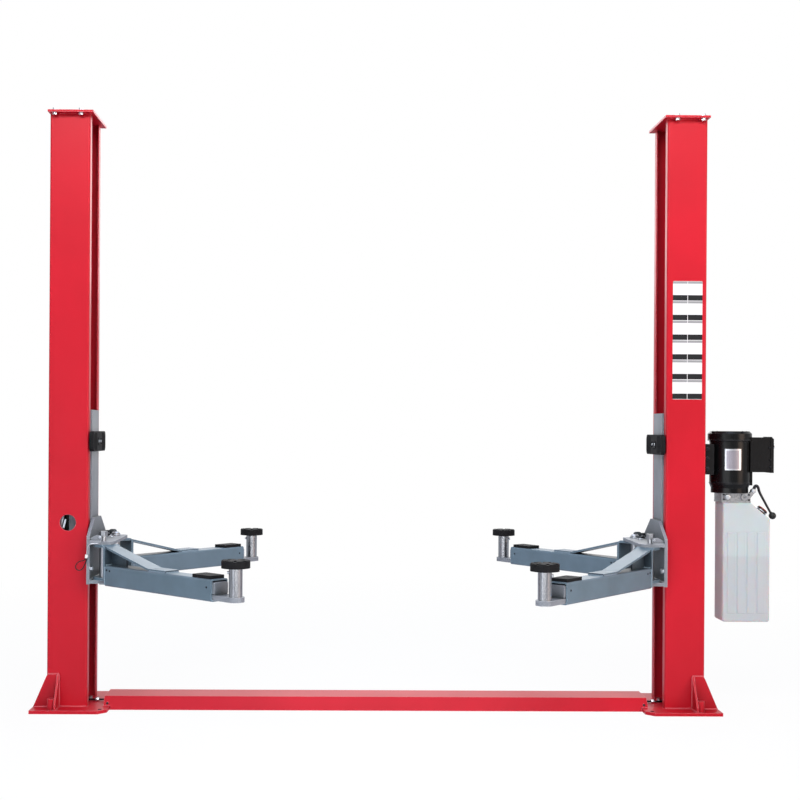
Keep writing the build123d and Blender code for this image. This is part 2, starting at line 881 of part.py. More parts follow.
# Power unit bracket: a channel between the post and the motor.
with BuildPart() as unit_bracket:
    bracket_front_x = unit_x - motor_diameter / 2 - bracket_gap
    with BuildSketch(Plane.XY.offset(bracket_bottom)):
        with Locations(((post_outer_x + bracket_front_x) / 2, 0)):
            Rectangle(bracket_front_x - post_outer_x, 2 * bracket_half)
            Rectangle(
                bracket_front_x - post_outer_x - 2 * bracket_sheet,
                2 * (bracket_half - bracket_sheet),
                mode=Mode.SUBTRACT,
            )
    extrude(amount=bracket_height)
unit_bracket.part.label = "unit_bracket"
export_step(unit_bracket.part, "parts/unit_bracket.step")

# Motor: a flange, a short taper, the round housing and the end bell.
with BuildPart() as motor:
    with BuildSketch(Plane.XZ):
        with BuildLine():
            Polyline(
                (unit_x, motor_bottom),
                (unit_x + motor_flange_diameter / 2, motor_bottom),
                (unit_x + motor_flange_diameter / 2, motor_bottom + motor_flange_height),
                (unit_x + motor_diameter / 2, motor_bottom + motor_taper_height),
                (unit_x + motor_diameter / 2, motor_top - motor_top_bell),
                (unit_x + motor_bell_diameter / 2, motor_top - motor_top_bell),
                (unit_x + motor_bell_diameter / 2, motor_top - motor_top_slope),
                (unit_x + motor_bell_diameter / 2 - motor_top_slope, motor_top),
                (unit_x, motor_top),
                close=True,
            )
        make_face()
    revolve(axis=Axis((unit_x, 0, 0), (0, 0, 1)))
    # A rail on the housing carries the switch box.
    with BuildSketch(Plane.XY.offset(rail_bottom)):
        with Locations((unit_x + rail_reach / 2, 0)):
            Rectangle(rail_reach, 2 * rail_half)
    extrude(amount=box_bottom - rail_bottom)
motor.part.label = "motor"
export_step(motor.part, "parts/motor.step")

with BuildPart() as switch_box:
    with BuildSketch(Plane.XZ):
        with BuildLine():
            Polyline(
                (box_left_x, box_bottom),
                (box_left_x, box_top),
                (box_right_x - box_corner_cut, box_top),
                (box_right_x, box_top - box_corner_cut),
                (box_right_x, box_bottom),
                close=True,
            )
        make_face()
    extrude(amount=box_half - lid_step, both=True)
    with BuildSketch(Plane.XZ):
        with BuildLine():
            Polyline(
                (box_right_x - lid_thickness, box_bottom - lid_step),
                (box_right_x - lid_thickness, box_top + lid_step),
                (box_right_x - box_corner_cut + lid_step, box_top + lid_step),
                (box_right_x, box_top - box_corner_cut + 2 * lid_step),
                (box_right_x, box_bottom - lid_step),
                close=True,
            )
        make_face()
    extrude(amount=box_half, both=True)
    with BuildSketch(Plane.YZ.offset(box_right_x)):
        with Locations((0, box_top - gland_drop)):
            RegularPolygon(gland_diameter / 2, 6)
    extrude(amount=gland_length)
    # The box is cut out round the motor and its end bell.
    with BuildSketch(Plane.XY.offset(box_bottom)):
        with Locations((unit_x, 0)):
            Circle(motor_diameter / 2 + box_seat_gap)
    extrude(amount=switch_height, mode=Mode.SUBTRACT)
    with BuildSketch(Plane.XY.offset(motor_top - motor_top_bell)):
        with Locations((unit_x, 0)):
            Circle(motor_bell_diameter / 2 + box_seat_gap)
    extrude(amount=motor_top_bell, mode=Mode.SUBTRACT)
switch_box.part.label = "switch_box"
export_step(switch_box.part, "parts/switch_box.step")

with BuildPart() as valve_block:
    block_mid_x = (block_left_x + block_right_x) / 2
    block_width = block_right_x - block_left_x
    with BuildSketch(Plane.XY.offset(block_bottom)):
        with Locations((block_mid_x, 0)):
            Rectangle(block_width, 2 * block_half)
    extrude(amount=block_height)
    with BuildSketch(Plane.XY.offset(block_bottom)):
        with Locations((block_mid_x, 0)):
            Rectangle(block_width, 2 * (block_half + block_foot_step))
    extrude(amount=block_foot_height)
    fittings_z = block_bottom + block_height / 2 + block_foot_height / 2
    with BuildSketch(Plane.XZ.offset(block_half)):
        with Locations((unit_x + boss_offset, fittings_z)):
            Rectangle(boss_width, boss_height)
    extrude(amount=boss_depth, taper=20)
    with BuildSketch(Plane.XZ.offset(block_half)):
        with Locations((unit_x + plug_offset, fittings_z)):
            Circle(plug_diameter / 2)
            RegularPolygon(plug_hex / 2, 6, mode=Mode.SUBTRACT)
    extrude(amount=plug_depth)
    # Two cheeks carry the lever's cross pin.
    cheek_inner = lever_hub_half + lever_side_gap
    for cheek in (-1, 1):
        cheek_y = lever_y + cheek * (cheek_inner + cheek_thickness / 2)
        with BuildSketch(Plane.XZ.offset(-cheek_y)):
            with BuildLine():
                Polyline(
                    (block_right_x - cheek_root, block_bottom + cheek_root),
                    (block_right_x, motor_bottom),
                    (lever_pivot_x, lever_pivot_z + cheek_radius),
                    (lever_pivot_x + cheek_radius, lever_pivot_z),
                    close=True,
                )
            make_face()
            with Locations((lever_pivot_x, lever_pivot_z)):
                Circle(cheek_radius)
        extrude(amount=cheek_thickness / 2, both=True)
    with BuildSketch(Plane.XZ.offset(-lever_y)):
        with Locations((lever_pivot_x, lever_pivot_z)):
            Circle(lever_pin_diameter / 2)
    extrude(amount=cheek_inner + cheek_thickness, both=True)
valve_block.part.label = "valve_block"
export_step(valve_block.part, "parts/valve_block.step")

with BuildPart() as tank:
    with BuildSketch(Plane.XZ) as tank_side:
        with BuildLine():
            Polyline(
                (tank_left_x, tank_bottom),
                (tank_left_x, block_bottom),
                (tank_shoulder_x, block_bottom),
                (tank_right_x, tank_shoulder_z),
                (tank_right_x, tank_bottom),
                close=True,
            )
        make_face()
        fillet(tank_side.vertices().group_by(Axis.Y)[0], tank_foot_corner)
    extrude(amount=tank_half, both=True)
    fillet(tank.faces().filter_by(Axis.Y).edges(), tank_edge)
    panel_room = tank_right_x - tank_left_x - 2 * panel_margin
    panel_width = (panel_room - (panel_count - 1) * panel_gap) / panel_count
    panel_height = tank_height - panel_top_drop - panel_foot_rise
    panel_mid_z = tank_bottom + panel_foot_rise + panel_height / 2
    for face in (-1, 1):
        panel_plane = Plane(
            origin=((tank_left_x + tank_right_x) / 2, face * tank_half, panel_mid_z),
            x_dir=(1, 0, 0),
            z_dir=(0, face, 0),
        )
        with BuildSketch(panel_plane):
            with GridLocations(panel_width + panel_gap, 0, panel_count, 1):
                Rectangle(panel_width, panel_height)
        extrude(amount=panel_depth, taper=30)
tank.part.label = "oil_tank"
export_step(tank.part, "parts/oil_tank.step")

with BuildPart() as filler:
    slope = Vector(tank_right_x - tank_shoulder_x, 0, tank_shoulder_z - block_bottom).normalized()
    outward = Vector(-slope.Z, 0, slope.X)
    middle = Vector((tank_shoulder_x + tank_right_x) / 2, 0, (block_bottom + tank_shoulder_z) / 2)
    with BuildSketch(Plane(origin=middle + slope * filler_slide, x_dir=slope, z_dir=outward)):
        Circle(filler_diameter / 2)
    extrude(amount=filler_height)
filler.part.label = "filler_cap"
export_step(filler.part, "parts/filler_cap.step")

# Lowering lever on the block's cross pin: a rod hooked over its hub, then straight to a ball.
with BuildPart() as lever:
    lever_hub = Vector(lever_pivot_x, lever_y, lever_pivot_z)
    lever_points = [lever_hub + Vector(x, 0, z) for x, z in lever_route]
    lever_rod, lever_length = bent_rod(lever_points, lever_diameter)
    add(lever_rod)
    with BuildSketch(Plane.XZ.offset(-lever_y)):
        with Locations((lever_pivot_x, lever_pivot_z)):
            Circle(lever_hub_diameter / 2)
    extrude(amount=lever_hub_half, both=True)
    # The ball is turned from a few flats.
    ball_centre = lever_hub + Vector(lever_reach_x, 0, -lever_drop)
    with BuildSketch(Plane(origin=ball_centre, x_dir=(1, 0, 0), z_dir=(0, -1, 0))):
        RegularPolygon(lever_ball_diameter / 2, lever_ball_sides)
        with Locations((-lever_ball_diameter / 2, 0)):
            Rectangle(lever_ball_diameter, 2 * lever_ball_diameter, mode=Mode.SUBTRACT)
    revolve(axis=Axis(ball_centre, (0, 0, 1)))
    with BuildSketch(Plane.XZ.offset(-lever_y)):
        with Locations((lever_pivot_x, lever_pivot_z)):
            Circle(lever_pin_diameter / 2 + lever_pin_fit)
    extrude(amount=lever_hub_half, both=True, mode=Mode.SUBTRACT)
lever.part.label = "release_lever"
export_step(lever.part, "parts/release_lever.step")

wire_start = Vector(
    -pivot_x - wire_start_x, -pivot_y - pivot_plate_reach_y, upper_plate_top - wire_start_drop
)
wire_points = [wire_start + Vector(*point) for point in wire_route]
wire, wire_length = bent_rod(wire_points, wire_diameter)
wire.label = "pull_wire"
export_step(wire, "parts/pull_wire.step")

ferrule_axis = (wire_points[-1] - wire_points[-2]).normalized()
ferrule_end = wire_points[-1] + ferrule_axis * ferrule_length
with BuildPart() as ferrule:
    with BuildSketch(Plane(origin=wire_points[-1], z_dir=ferrule_axis)):
        Circle(ferrule_diameter / 2)
    extrude(amount=ferrule_length)
ferrule.part.label = "wire_ferrule"
export_step(ferrule.part, "parts/wire_ferrule.step")

leg_side = Vector(-ferrule_axis.Z, 0, ferrule_axis.X).normalized() * loop_leg_offset
loop_points = (
    [ferrule_end - leg_side, ferrule_end - leg_side + ferrule_axis * loop_leg_length]
    + [wire_start + Vector(*point) for point in loop_route]
    + [ferrule_end + leg_side + ferrule_axis * loop_leg_length, ferrule_end + leg_side]
)
loop, loop_length = bent_rod(loop_points, loop_diameter)
loop.label = "pull_loop"
export_step(loop, "parts/pull_loop.step")
print("wire length", round(wire_length, 1), "loop length", round(loop_length, 1))
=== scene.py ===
import json
from math import atan2, cos, degrees, pi, radians, sin

import bmesh
import bpy
from mathutils import Matrix, Vector


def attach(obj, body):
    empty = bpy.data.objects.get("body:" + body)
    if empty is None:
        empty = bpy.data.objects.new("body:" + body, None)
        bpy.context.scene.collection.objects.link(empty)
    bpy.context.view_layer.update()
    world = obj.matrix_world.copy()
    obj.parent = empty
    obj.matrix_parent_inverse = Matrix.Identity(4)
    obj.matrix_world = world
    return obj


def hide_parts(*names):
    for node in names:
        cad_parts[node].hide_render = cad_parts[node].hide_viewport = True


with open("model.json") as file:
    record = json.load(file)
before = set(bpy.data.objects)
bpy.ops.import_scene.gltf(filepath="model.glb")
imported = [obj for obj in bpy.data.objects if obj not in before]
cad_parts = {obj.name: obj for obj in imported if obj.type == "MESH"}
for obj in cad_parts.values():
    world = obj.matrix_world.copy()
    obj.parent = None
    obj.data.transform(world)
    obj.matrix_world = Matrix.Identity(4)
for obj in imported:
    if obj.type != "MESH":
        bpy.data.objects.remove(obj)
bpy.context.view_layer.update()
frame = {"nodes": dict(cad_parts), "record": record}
nodes = frame["nodes"]
scene = bpy.context.scene
sides = {"left": -1, "right": 1}
ends = {"front": -1, "rear": 1}
corners = [(way, end) for way in sides.values() for end in ends.values()]


# sRGB hex to the linear colour that Blender's sockets take
def toLinear(hexColour):
    channels = [int(hexColour[i:i + 2], 16) / 255 for i in (1, 3, 5)]
    return tuple(c / 12.92 if c <= 0.04045 else ((c + 0.055) / 1.055) ** 2.4 for c in channels) + (1.0,)


# one shader node with its settings and links; a key is a socket's name or number, or a property
def addNode(tree, kind, settings=None, links=None):
    node = tree.nodes.new(kind)
    for key, value in (settings or {}).items():
        if isinstance(key, str) and hasattr(node, key):
            setattr(node, key, value)
        else:
            node.inputs[key].default_value = value
    for key, source in (links or {}).items():
        tree.links.new(source, node.inputs[key])
    return node


# camera: solved from the posts, caps and floor plates, at the photograph's viewing angle
camera = {
    "place": (-0.1633, -6.118, 1.3327),
    "yaw": 0.68,
    "roll": 0.36,
    "focal": 56.84,
    "shift": (0.0516, 0.0372),
}
cameraData = bpy.data.cameras.new("camera")
cameraData.lens = camera["focal"]
cameraData.shift_x, cameraData.shift_y = camera["shift"]
cameraData.clip_end = 60
cameraObject = bpy.data.objects.new("camera", cameraData)
cameraObject.location = camera["place"]
cameraObject.rotation_euler = (radians(90), radians(-camera["roll"]), radians(-camera["yaw"]))
scene.collection.objects.link(cameraObject)
scene.camera = cameraObject
print("camera set")


# pull wire: Ø3 steel cable out of the upper pivot plate, with a crimped ferrule and a coated finger loop;
# the routes are in millimetres from its start
pullWire = {
    "start": Vector((-1.298, -0.202, 0.796)),
    "route": [
        (0, 0, 0), (0, -17, 0), (-20, -27, 0), (-40, -28, -1), (-52, -26, -12), (-56, -23, -34),
        (-59, -20, -54),
    ],
    "loopRoute": [
        (-89, -16, -83), (-105, -14, -93), (-113, -13, -109), (-107, -13, -124), (-92, -14, -128),
        (-77, -16, -119), (-69, -18, -102),
    ],
    "diameter": 0.003,
    "length": 0.116,
    "ferrule": 0.015,
    "leg": 0.012,
    "legOffset": 0.0032,
    "loopDiameter": 0.005,
    "loopLength": 0.165,
}


# a rod, tube or cable through the points, straight or smoothed, ended flat; the points' radius carries
# the thickness, because a curve's bound box grows by that radius
def makeRod(name, points, diameter, smooth=False, swell=None, roundness=3, steps=8):
    curve = bpy.data.curves.new(name, "CURVE")
    curve.dimensions = "3D"
    curve.bevel_depth = 1
    curve.bevel_resolution = roundness
    curve.resolution_u = steps
    curve.use_fill_caps = True
    spline = curve.splines.new("NURBS" if smooth else "POLY")
    spline.points.add(len(points) - 1)
    for place, point in enumerate(spline.points):
        point.co = (*points[place], 1)
        point.radius = diameter / 2 * (swell[place] if swell else 1)
    if smooth:
        spline.order_u = 3
        spline.use_endpoint_u = True
    rod = bpy.data.objects.new(name, curve)
    scene.collection.objects.link(rod)
    return rod


wirePoints = [pullWire["start"] + Vector(point) / 1000 for point in pullWire["route"]]
wire = makeRod("pullWireStrands", wirePoints, pullWire["diameter"], smooth=True, roundness=5, steps=10)
wireEnd = wirePoints[-1]
wireAxis = (wireEnd - wirePoints[-2]).normalized()
ferruleEnd = wireEnd + wireAxis * pullWire["ferrule"]
legSide = Vector((-wireAxis.z, 0, wireAxis.x)).normalized() * pullWire["legOffset"]
legRun = wireAxis * pullWire["leg"]
loopPoints = [ferruleEnd - legSide, ferruleEnd - legSide + legRun]
loopPoints += [pullWire["start"] + Vector(point) / 1000 for point in pullWire["loopRoute"]]
loopPoints += [ferruleEnd + legSide + legRun, ferruleEnd + legSide]
loop = makeRod("pullLoopCoating", loopPoints, pullWire["loopDiameter"], smooth=True, roundness=5, steps=10)
for piece, node, slot in ((wire, "pull_wire", "steel_wire"), (loop, "pull_loop", "black_plastic")):
    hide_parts(node)
    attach(piece, "left_carriage_group")
print("pull wire laid")

# studio: a pale floor that keeps the shadow, a white surround, and broad soft lamps
studio = {
    "floorHalf": 30,
    "floorColour": "#e4e5e8",
    "floorGlow": 0.93,
    "fadeFrom": 2.2,
    "fadeTo": 5.5,
    "skyHigh": "#dfe9f6",
    "skyLow": "#8d8a88",
    "skyStrength": 0.42,
    "lamps": {
        "frontLamp": {
            "place": (0.3, -6.4, 5.6), "aim": (0, 0, 1.7), "size": (9.0, 2.2), "power": 198,
            "colour": "#ffffff",
        },
        "upperLamp": {
            "place": (-0.4, -3.4, 4.4), "aim": (-0.2, 0, 2.9), "size": (5.0, 0.8), "power": 140,
            "colour": "#ffffff",
        },
        "coverLamp": {
            "place": (0, -2.6, 0.9), "aim": (0, -0.2, 0.05), "size": (2.0, 0.3), "power": 16,
            "colour": "#ffffff",
        },
        "rightLamp": {
            "place": (5.5, -3.6, 2.2), "aim": (0.4, 0, 0.9), "size": (2.6, 2.6), "power": 140,
            "colour": "#ffe0ca",
        },
        "leftLamp": {
            "place": (-3.2, -4.4, 1.0), "aim": (1.7, 0, 0.6), "size": (1.4, 1.4), "power": 20,
            "colour": "#f2f6ff",
        },
        "topLamp": {
            "place": (0, 0.4, 6.2), "aim": (0, 0, 0), "size": (5.0, 4.0), "power": 160,
            "colour": "#cfe0ff",
        },
        "backLamp": {
            "place": (0.5, 6.0, 4.0), "aim": (0, 0, 1.2), "size": (5.0, 3.0), "power": 120,
            "colour": "#ffffff",
        },
    },
}


def startMaterial(name):
    material = bpy.data.materials.new(name)
    material.use_nodes = True
    material.node_tree.nodes.clear()
    return material, material.node_tree


bpy.ops.object.select_all(action="DESELECT")
bpy.ops.mesh.primitive_plane_add(size=2 * studio["floorHalf"])
floor = bpy.context.object
floor.name = "floor"
floorMaterial, tree = startMaterial("paleFloor")
ray = addNode(tree, "ShaderNodeLightPath")
matt = addNode(tree, "ShaderNodeBsdfDiffuse", {"Color": toLinear(studio["floorColour"])})
glow = addNode(tree, "ShaderNodeEmission", {"Strength": 1.0})
place = addNode(tree, "ShaderNodeTexCoord").outputs["Object"]
away = addNode(tree, "ShaderNodeVectorMath", {"operation": "LENGTH"}, {0: place})
fade = addNode(
    tree, "ShaderNodeMapRange",
    {"From Min": studio["fadeFrom"], "From Max": studio["fadeTo"], "To Min": studio["floorGlow"]},
    {"Value": away.outputs["Value"]},
)
seen = addNode(
    tree, "ShaderNodeMath", {"operation": "MULTIPLY"},
    {0: ray.outputs["Is Camera Ray"], 1: fade.outputs["Result"]},
)
mixed = addNode(
    tree, "ShaderNodeMixShader", None, {0: seen.outputs[0], 1: matt.outputs[0], 2: glow.outputs[0]},
)
addNode(tree, "ShaderNodeOutputMaterial", None, {"Surface": mixed.outputs[0]})
floor.data.materials.append(floorMaterial)

world = bpy.data.worlds.new("surround")
scene.world = world
world.use_nodes = True
tree = world.node_tree
tree.nodes.clear()
ray = addNode(tree, "ShaderNodeLightPath")
heading = addNode(tree, "ShaderNodeTexCoord").outputs["Generated"]
height = addNode(tree, "ShaderNodeSeparateXYZ", None, {0: heading})
climb = addNode(
    tree, "ShaderNodeMapRange", {"From Min": -0.15, "From Max": 0.5}, {"Value": height.outputs["Z"]},
)
dome = addNode(
    tree, "ShaderNodeMix",
    {"data_type": "RGBA", 6: toLinear(studio["skyLow"]), 7: toLinear(studio["skyHigh"])},
    {0: climb.outputs["Result"]},
)
sky = addNode(tree, "ShaderNodeBackground", {"Strength": studio["skyStrength"]}, {"Color": dome.outputs[2]})
white = addNode(tree, "ShaderNodeBackground", {"Color": (1, 1, 1, 1), "Strength": 1.0})
either = addNode(
    tree, "ShaderNodeMath", {"operation": "MAXIMUM"},
    {0: ray.outputs["Is Camera Ray"], 1: ray.outputs["Is Glossy Ray"]},
)
anyRay = addNode(
    tree, "ShaderNodeMath", {"operation": "MAXIMUM"},
    {0: either.outputs[0], 1: ray.outputs["Is Transmission Ray"]},
)
mixed = addNode(
    tree, "ShaderNodeMixShader", None, {0: anyRay.outputs[0], 1: sky.outputs[0], 2: white.outputs[0]},
)
addNode(tree, "ShaderNodeOutputWorld", None, {"Surface": mixed.outputs[0]})

for name, look in studio["lamps"].items():
    lampData = bpy.data.lights.new(name, "AREA")
    lampData.shape = "RECTANGLE"
    lampData.size, lampData.size_y = look["size"]
    lampData.energy = look["power"]
    lampData.color = toLinear(look["colour"])[:3]
    lamp = bpy.data.objects.new(name, lampData)
    lamp.location = look["place"]
    lamp.rotation_euler = (Vector(look["aim"]) - Vector(look["place"])).to_track_quat("-Z", "Y").to_euler()
    scene.collection.objects.link(lamp)
scene.view_settings.view_transform = "Standard"
print("studio lit")


# sprayed or powder-coated paint on steel: faint clouding, orange peel, a painted highlight along the edges,
# and painted shade in the recesses
def makePaint(name, look):
    material, tree = startMaterial(name)
    place = addNode(tree, "ShaderNodeTexCoord").outputs["Object"]
    cloud = addNode(
        tree, "ShaderNodeTexNoise", {"Scale": 1 / look["cloud"], "Detail": 3.0}, {"Vector": place},
    )
    parted = addNode(
        tree, "ShaderNodeMapRange", {"From Min": 0.35, "From Max": 0.65}, {"Value": cloud.outputs["Fac"]},
    )
    tint = addNode(
        tree, "ShaderNodeMix",
        {"data_type": "RGBA", 6: toLinear(look["colour"]), 7: toLinear(look["clouded"])},
        {0: parted.outputs["Result"]},
    )
    # painted highlight: a paler colour along the edges, where the rounded normal turns away from the flat one
    rounded = addNode(tree, "ShaderNodeBevel", {"samples": 4, "Radius": look["edge"]})
    flat = addNode(tree, "ShaderNodeNewGeometry")
    bend = addNode(
        tree, "ShaderNodeVectorMath", {"operation": "DOT_PRODUCT"},
        {0: rounded.outputs["Normal"], 1: flat.outputs["True Normal"]},
    )
    edgeLit = addNode(
        tree, "ShaderNodeMapRange", {"From Min": 0.995, "From Max": 0.86, "To Max": look["edgeHighlight"]},
        {"Value": bend.outputs["Value"]},
    )
    highlighted = addNode(
        tree, "ShaderNodeMix", {"data_type": "RGBA", 7: toLinear(look["edgeHighlightColour"])},
        {0: edgeLit.outputs["Result"], 6: tint.outputs[2]},
    )
    # painted shade: the colour darkens towards the shade colour in corners and recesses of the same piece
    recess = addNode(tree, "ShaderNodeAmbientOcclusion", {"samples": 6, "only_local": True, "Distance": 0.2})
    shaded = addNode(
        tree, "ShaderNodeMapRange", {"From Min": 0.94, "From Max": 0.5, "To Max": look["paintedShade"]},
        {"Value": recess.outputs["AO"]},
    )
    skin = addNode(
        tree, "ShaderNodeMix", {"data_type": "RGBA", 7: toLinear(look["paintedShadeColour"])},
        {0: shaded.outputs["Result"], 6: highlighted.outputs[2]},
    )
    peel = addNode(tree, "ShaderNodeTexNoise", {"Scale": 1 / look["peel"], "Detail": 1.0}, {"Vector": place})
    relief = addNode(
        tree, "ShaderNodeBump", {"Strength": look["relief"], "Distance": 0.0004},
        {"Height": peel.outputs["Fac"]},
    )
    dull = addNode(
        tree, "ShaderNodeMapRange", {"To Min": look["rough"] - 0.05, "To Max": look["rough"] + 0.07},
        {"Value": cloud.outputs["Fac"]},
    )
    coat = addNode(
        tree, "ShaderNodeBsdfPrincipled", {"IOR": 1.5, "Specular IOR Level": look["gloss"]},
        {
            "Base Color": skin.outputs[2], "Roughness": dull.outputs["Result"],
            "Normal": relief.outputs["Normal"],
        },
    )
    addNode(tree, "ShaderNodeOutputMaterial", None, {"Surface": coat.outputs[0]})
    return material


# bare, plated, cast or drawn metal: grain along one direction or all over, in tint and roughness
def makeMetal(name, look):
    material, tree = startMaterial(name)
    place = addNode(tree, "ShaderNodeTexCoord").outputs["Object"]
    stretch = addNode(tree, "ShaderNodeMapping", {"Scale": look.get("stretch", (1, 1, 1))}, {"Vector": place})
    grain = addNode(
        tree, "ShaderNodeTexNoise", {"Scale": 1 / look["grain"], "Detail": 4.0, "Roughness": 0.6},
        {"Vector": stretch.outputs[0]},
    )
    tint = addNode(
        tree, "ShaderNodeMix",
        {"data_type": "RGBA", 6: toLinear(look["colour"]), 7: toLinear(look["dark"])},
        {0: grain.outputs["Fac"]},
    )
    dull = addNode(
        tree, "ShaderNodeMapRange", {"To Min": look["rough"] - 0.08, "To Max": look["rough"] + 0.12},
        {"Value": grain.outputs["Fac"]},
    )
    relief = addNode(
        tree, "ShaderNodeBump", {"Strength": look["relief"], "Distance": 0.0005},
        {"Height": grain.outputs["Fac"]},
    )
    metal = addNode(
        tree, "ShaderNodeBsdfPrincipled", {"Metallic": 1.0},
        {
            "Base Color": tint.outputs[2], "Roughness": dull.outputs["Result"],
            "Normal": relief.outputs["Normal"],
        },
    )
    addNode(tree, "ShaderNodeOutputMaterial", None, {"Surface": metal.outputs[0]})
    return material


# moulded plastic or rubber: a fine pebbled skin with slight patches of sheen
def makeMoulded(name, look):
    material, tree = startMaterial(name)
    place = addNode(tree, "ShaderNodeTexCoord").outputs["Object"]
    pebble = addNode(tree, "ShaderNodeTexVoronoi", {"Scale": 1 / look["pebble"]}, {"Vector": place})
    patch = addNode(
        tree, "ShaderNodeTexNoise", {"Scale": 1 / look["patch"], "Detail": 2.0}, {"Vector": place},
    )
    tint = addNode(
        tree, "ShaderNodeMix",
        {"data_type": "RGBA", 6: toLinear(look["colour"]), 7: toLinear(look["dusty"])},
        {0: patch.outputs["Fac"]},
    )
    colour = tint.outputs[2]
    if "oil" in look:  # the filling shows through the wall as a darker field up to its level
        height = addNode(tree, "ShaderNodeSeparateXYZ", None, {0: place}).outputs["Z"]
        wet = addNode(
            tree, "ShaderNodeMapRange",
            {"From Min": look["oilTop"], "From Max": look["oilTop"] - look["oilFade"]}, {"Value": height},
        )
        colour = addNode(
            tree, "ShaderNodeMix", {"data_type": "RGBA", 7: toLinear(look["oil"])},
            {0: wet.outputs["Result"], 6: colour},
        ).outputs[2]
    dull = addNode(
        tree, "ShaderNodeMapRange", {"To Min": look["rough"] - 0.06, "To Max": look["rough"] + 0.08},
        {"Value": patch.outputs["Fac"]},
    )
    relief = addNode(
        tree, "ShaderNodeBump", {"Strength": look["relief"], "Distance": 0.0006},
        {"Height": pebble.outputs["Distance"]},
    )
    skin = addNode(
        tree, "ShaderNodeBsdfPrincipled",
        {
            "IOR": look["ior"], "Specular IOR Level": look["gloss"],
            "Subsurface Weight": look.get("milk", 0), "Subsurface Scale": 0.06,
        },
        {"Base Color": colour, "Roughness": dull.outputs["Result"], "Normal": relief.outputs["Normal"]},
    )
    addNode(tree, "ShaderNodeOutputMaterial", None, {"Surface": skin.outputs[0]})
    return material


paints = {
    # red polyester powder coat: satin and even, with a painted highlight over the bends
    "redPowderCoat": {
        "colour": "#bc1527", "clouded": "#b01222", "edgeHighlightColour": "#f0a4ae", "edgeHighlight": 0.55, "edge": 0.003,
        "cloud": 0.5, "peel": 0.006, "relief": 0.12, "rough": 0.36, "gloss": 0.2, "paintedShade": 0.3,
        "paintedShadeColour": "#4a0a10",
    },
    # grey enamel on the carriages: satin, with painted shade deep in the corners
    "greyEnamel": {
        "colour": "#82868d", "clouded": "#767b82", "edgeHighlightColour": "#c9cfd6", "edgeHighlight": 0.5, "edge": 0.003,
        "cloud": 0.15, "peel": 0.005, "relief": 0.15, "rough": 0.36, "gloss": 0.3, "paintedShade": 0.92,
        "paintedShadeColour": "#20272a",
    },
    # blue-grey enamel on the swing arms: satin with a cool cast, with painted shade in the corners
    "blueGreyEnamel": {
        "colour": "#607380", "clouded": "#586a76", "edgeHighlightColour": "#b4c4d2", "edgeHighlight": 0.5, "edge": 0.003,
        "cloud": 0.15, "peel": 0.005, "relief": 0.15, "rough": 0.34, "gloss": 0.3, "paintedShade": 0.85,
        "paintedShadeColour": "#232b33",
    },
    # black brushing enamel on brackets and cylinders: a soft, uneven black
    "blackEnamel": {
        "colour": "#0e0f11", "clouded": "#141517", "edgeHighlightColour": "#55575d", "edgeHighlight": 0.4, "edge": 0.002,
        "cloud": 0.1, "peel": 0.004, "relief": 0.2, "rough": 0.38, "gloss": 0.15, "paintedShade": 0.5,
        "paintedShadeColour": "#060607",
    },
    # stoved black enamel on the motor shell: gloss with a fine ripple
    "motorEnamel": {
        "colour": "#08090a", "clouded": "#0c0d0f", "edgeHighlightColour": "#5c5f66", "edgeHighlight": 0.35, "edge": 0.002,
        "cloud": 0.1, "peel": 0.004, "relief": 0.2, "rough": 0.26, "gloss": 0.16, "paintedShade": 0.3,
        "paintedShadeColour": "#050606",
    },
}
metals = {
    # zinc-plated steel: pale, slightly cloudy bright plating
    "zincPlate": {"colour": "#d3d7dc", "dark": "#a3a9b1", "grain": 0.012, "rough": 0.3, "relief": 0.05},
    # zinc plating over the sleeve's tube: light and dark streaks down its length, painted in as reflection
    "reflectStreakZinc": {
        "colour": "#c4c5c7", "dark": "#66686e", "grain": 0.006, "stretch": (1, 1, 0.06), "rough": 0.24,
        "relief": 0.05,
    },
    # ground steel pins: fine turning marks round the shaft
    "groundSteel": {
        "colour": "#b4b6ba", "dark": "#85888d", "grain": 0.006, "stretch": (1, 1, 6), "rough": 0.32,
        "relief": 0.08,
    },
    # hard chrome on the rams: mirror bright with faint grinding rings
    "hardChrome": {
        "colour": "#e2e4e6", "dark": "#cfd2d5", "grain": 0.02, "stretch": (1, 1, 4), "rough": 0.14,
        "relief": 0.02,
    },
    # oiled chain steel: dark with bright rubbed spots
    "oiledSteel": {"colour": "#6b675f", "dark": "#2e2b27", "grain": 0.006, "rough": 0.36, "relief": 0.2},
    # gravity-cast aluminium: grey, mottled by the mould's grain
    "castAluminium": {"colour": "#c4c8cc", "dark": "#34383c", "grain": 0.008, "rough": 0.42, "relief": 0.3},
    # anodised aluminium sheet, brushed along its height: a satin streak
    "brushedAluminium": {
        "colour": "#cfd1d6", "dark": "#9a9da4", "grain": 0.004, "stretch": (6, 6, 0.3), "rough": 0.34,
        "relief": 0.05,
    },
    # grey anodised field of the rating plate, satin
    "greyAnodise": {"colour": "#9c98a1", "dark": "#807d86", "grain": 0.003, "rough": 0.42, "relief": 0.05},
    # black-oxide steel of screws, lever and pipe: nearly black with an oily gloss
    "blackOxide": {"colour": "#34353a", "dark": "#17181b", "grain": 0.008, "rough": 0.34, "relief": 0.1},
    # spring steel wire, drawn: grey with a dull shine
    "springSteel": {"colour": "#8d9095", "dark": "#55585d", "grain": 0.004, "rough": 0.3, "relief": 0.1},
    # stranded steel cable: the strands, too fine to show, are drawn as a pale grain
    "strandedSteel": {
        "colour": "#e6e9ec", "dark": "#a8acb0", "grain": 0.0012, "rough": 0.36, "relief": 0.5,
    },
}
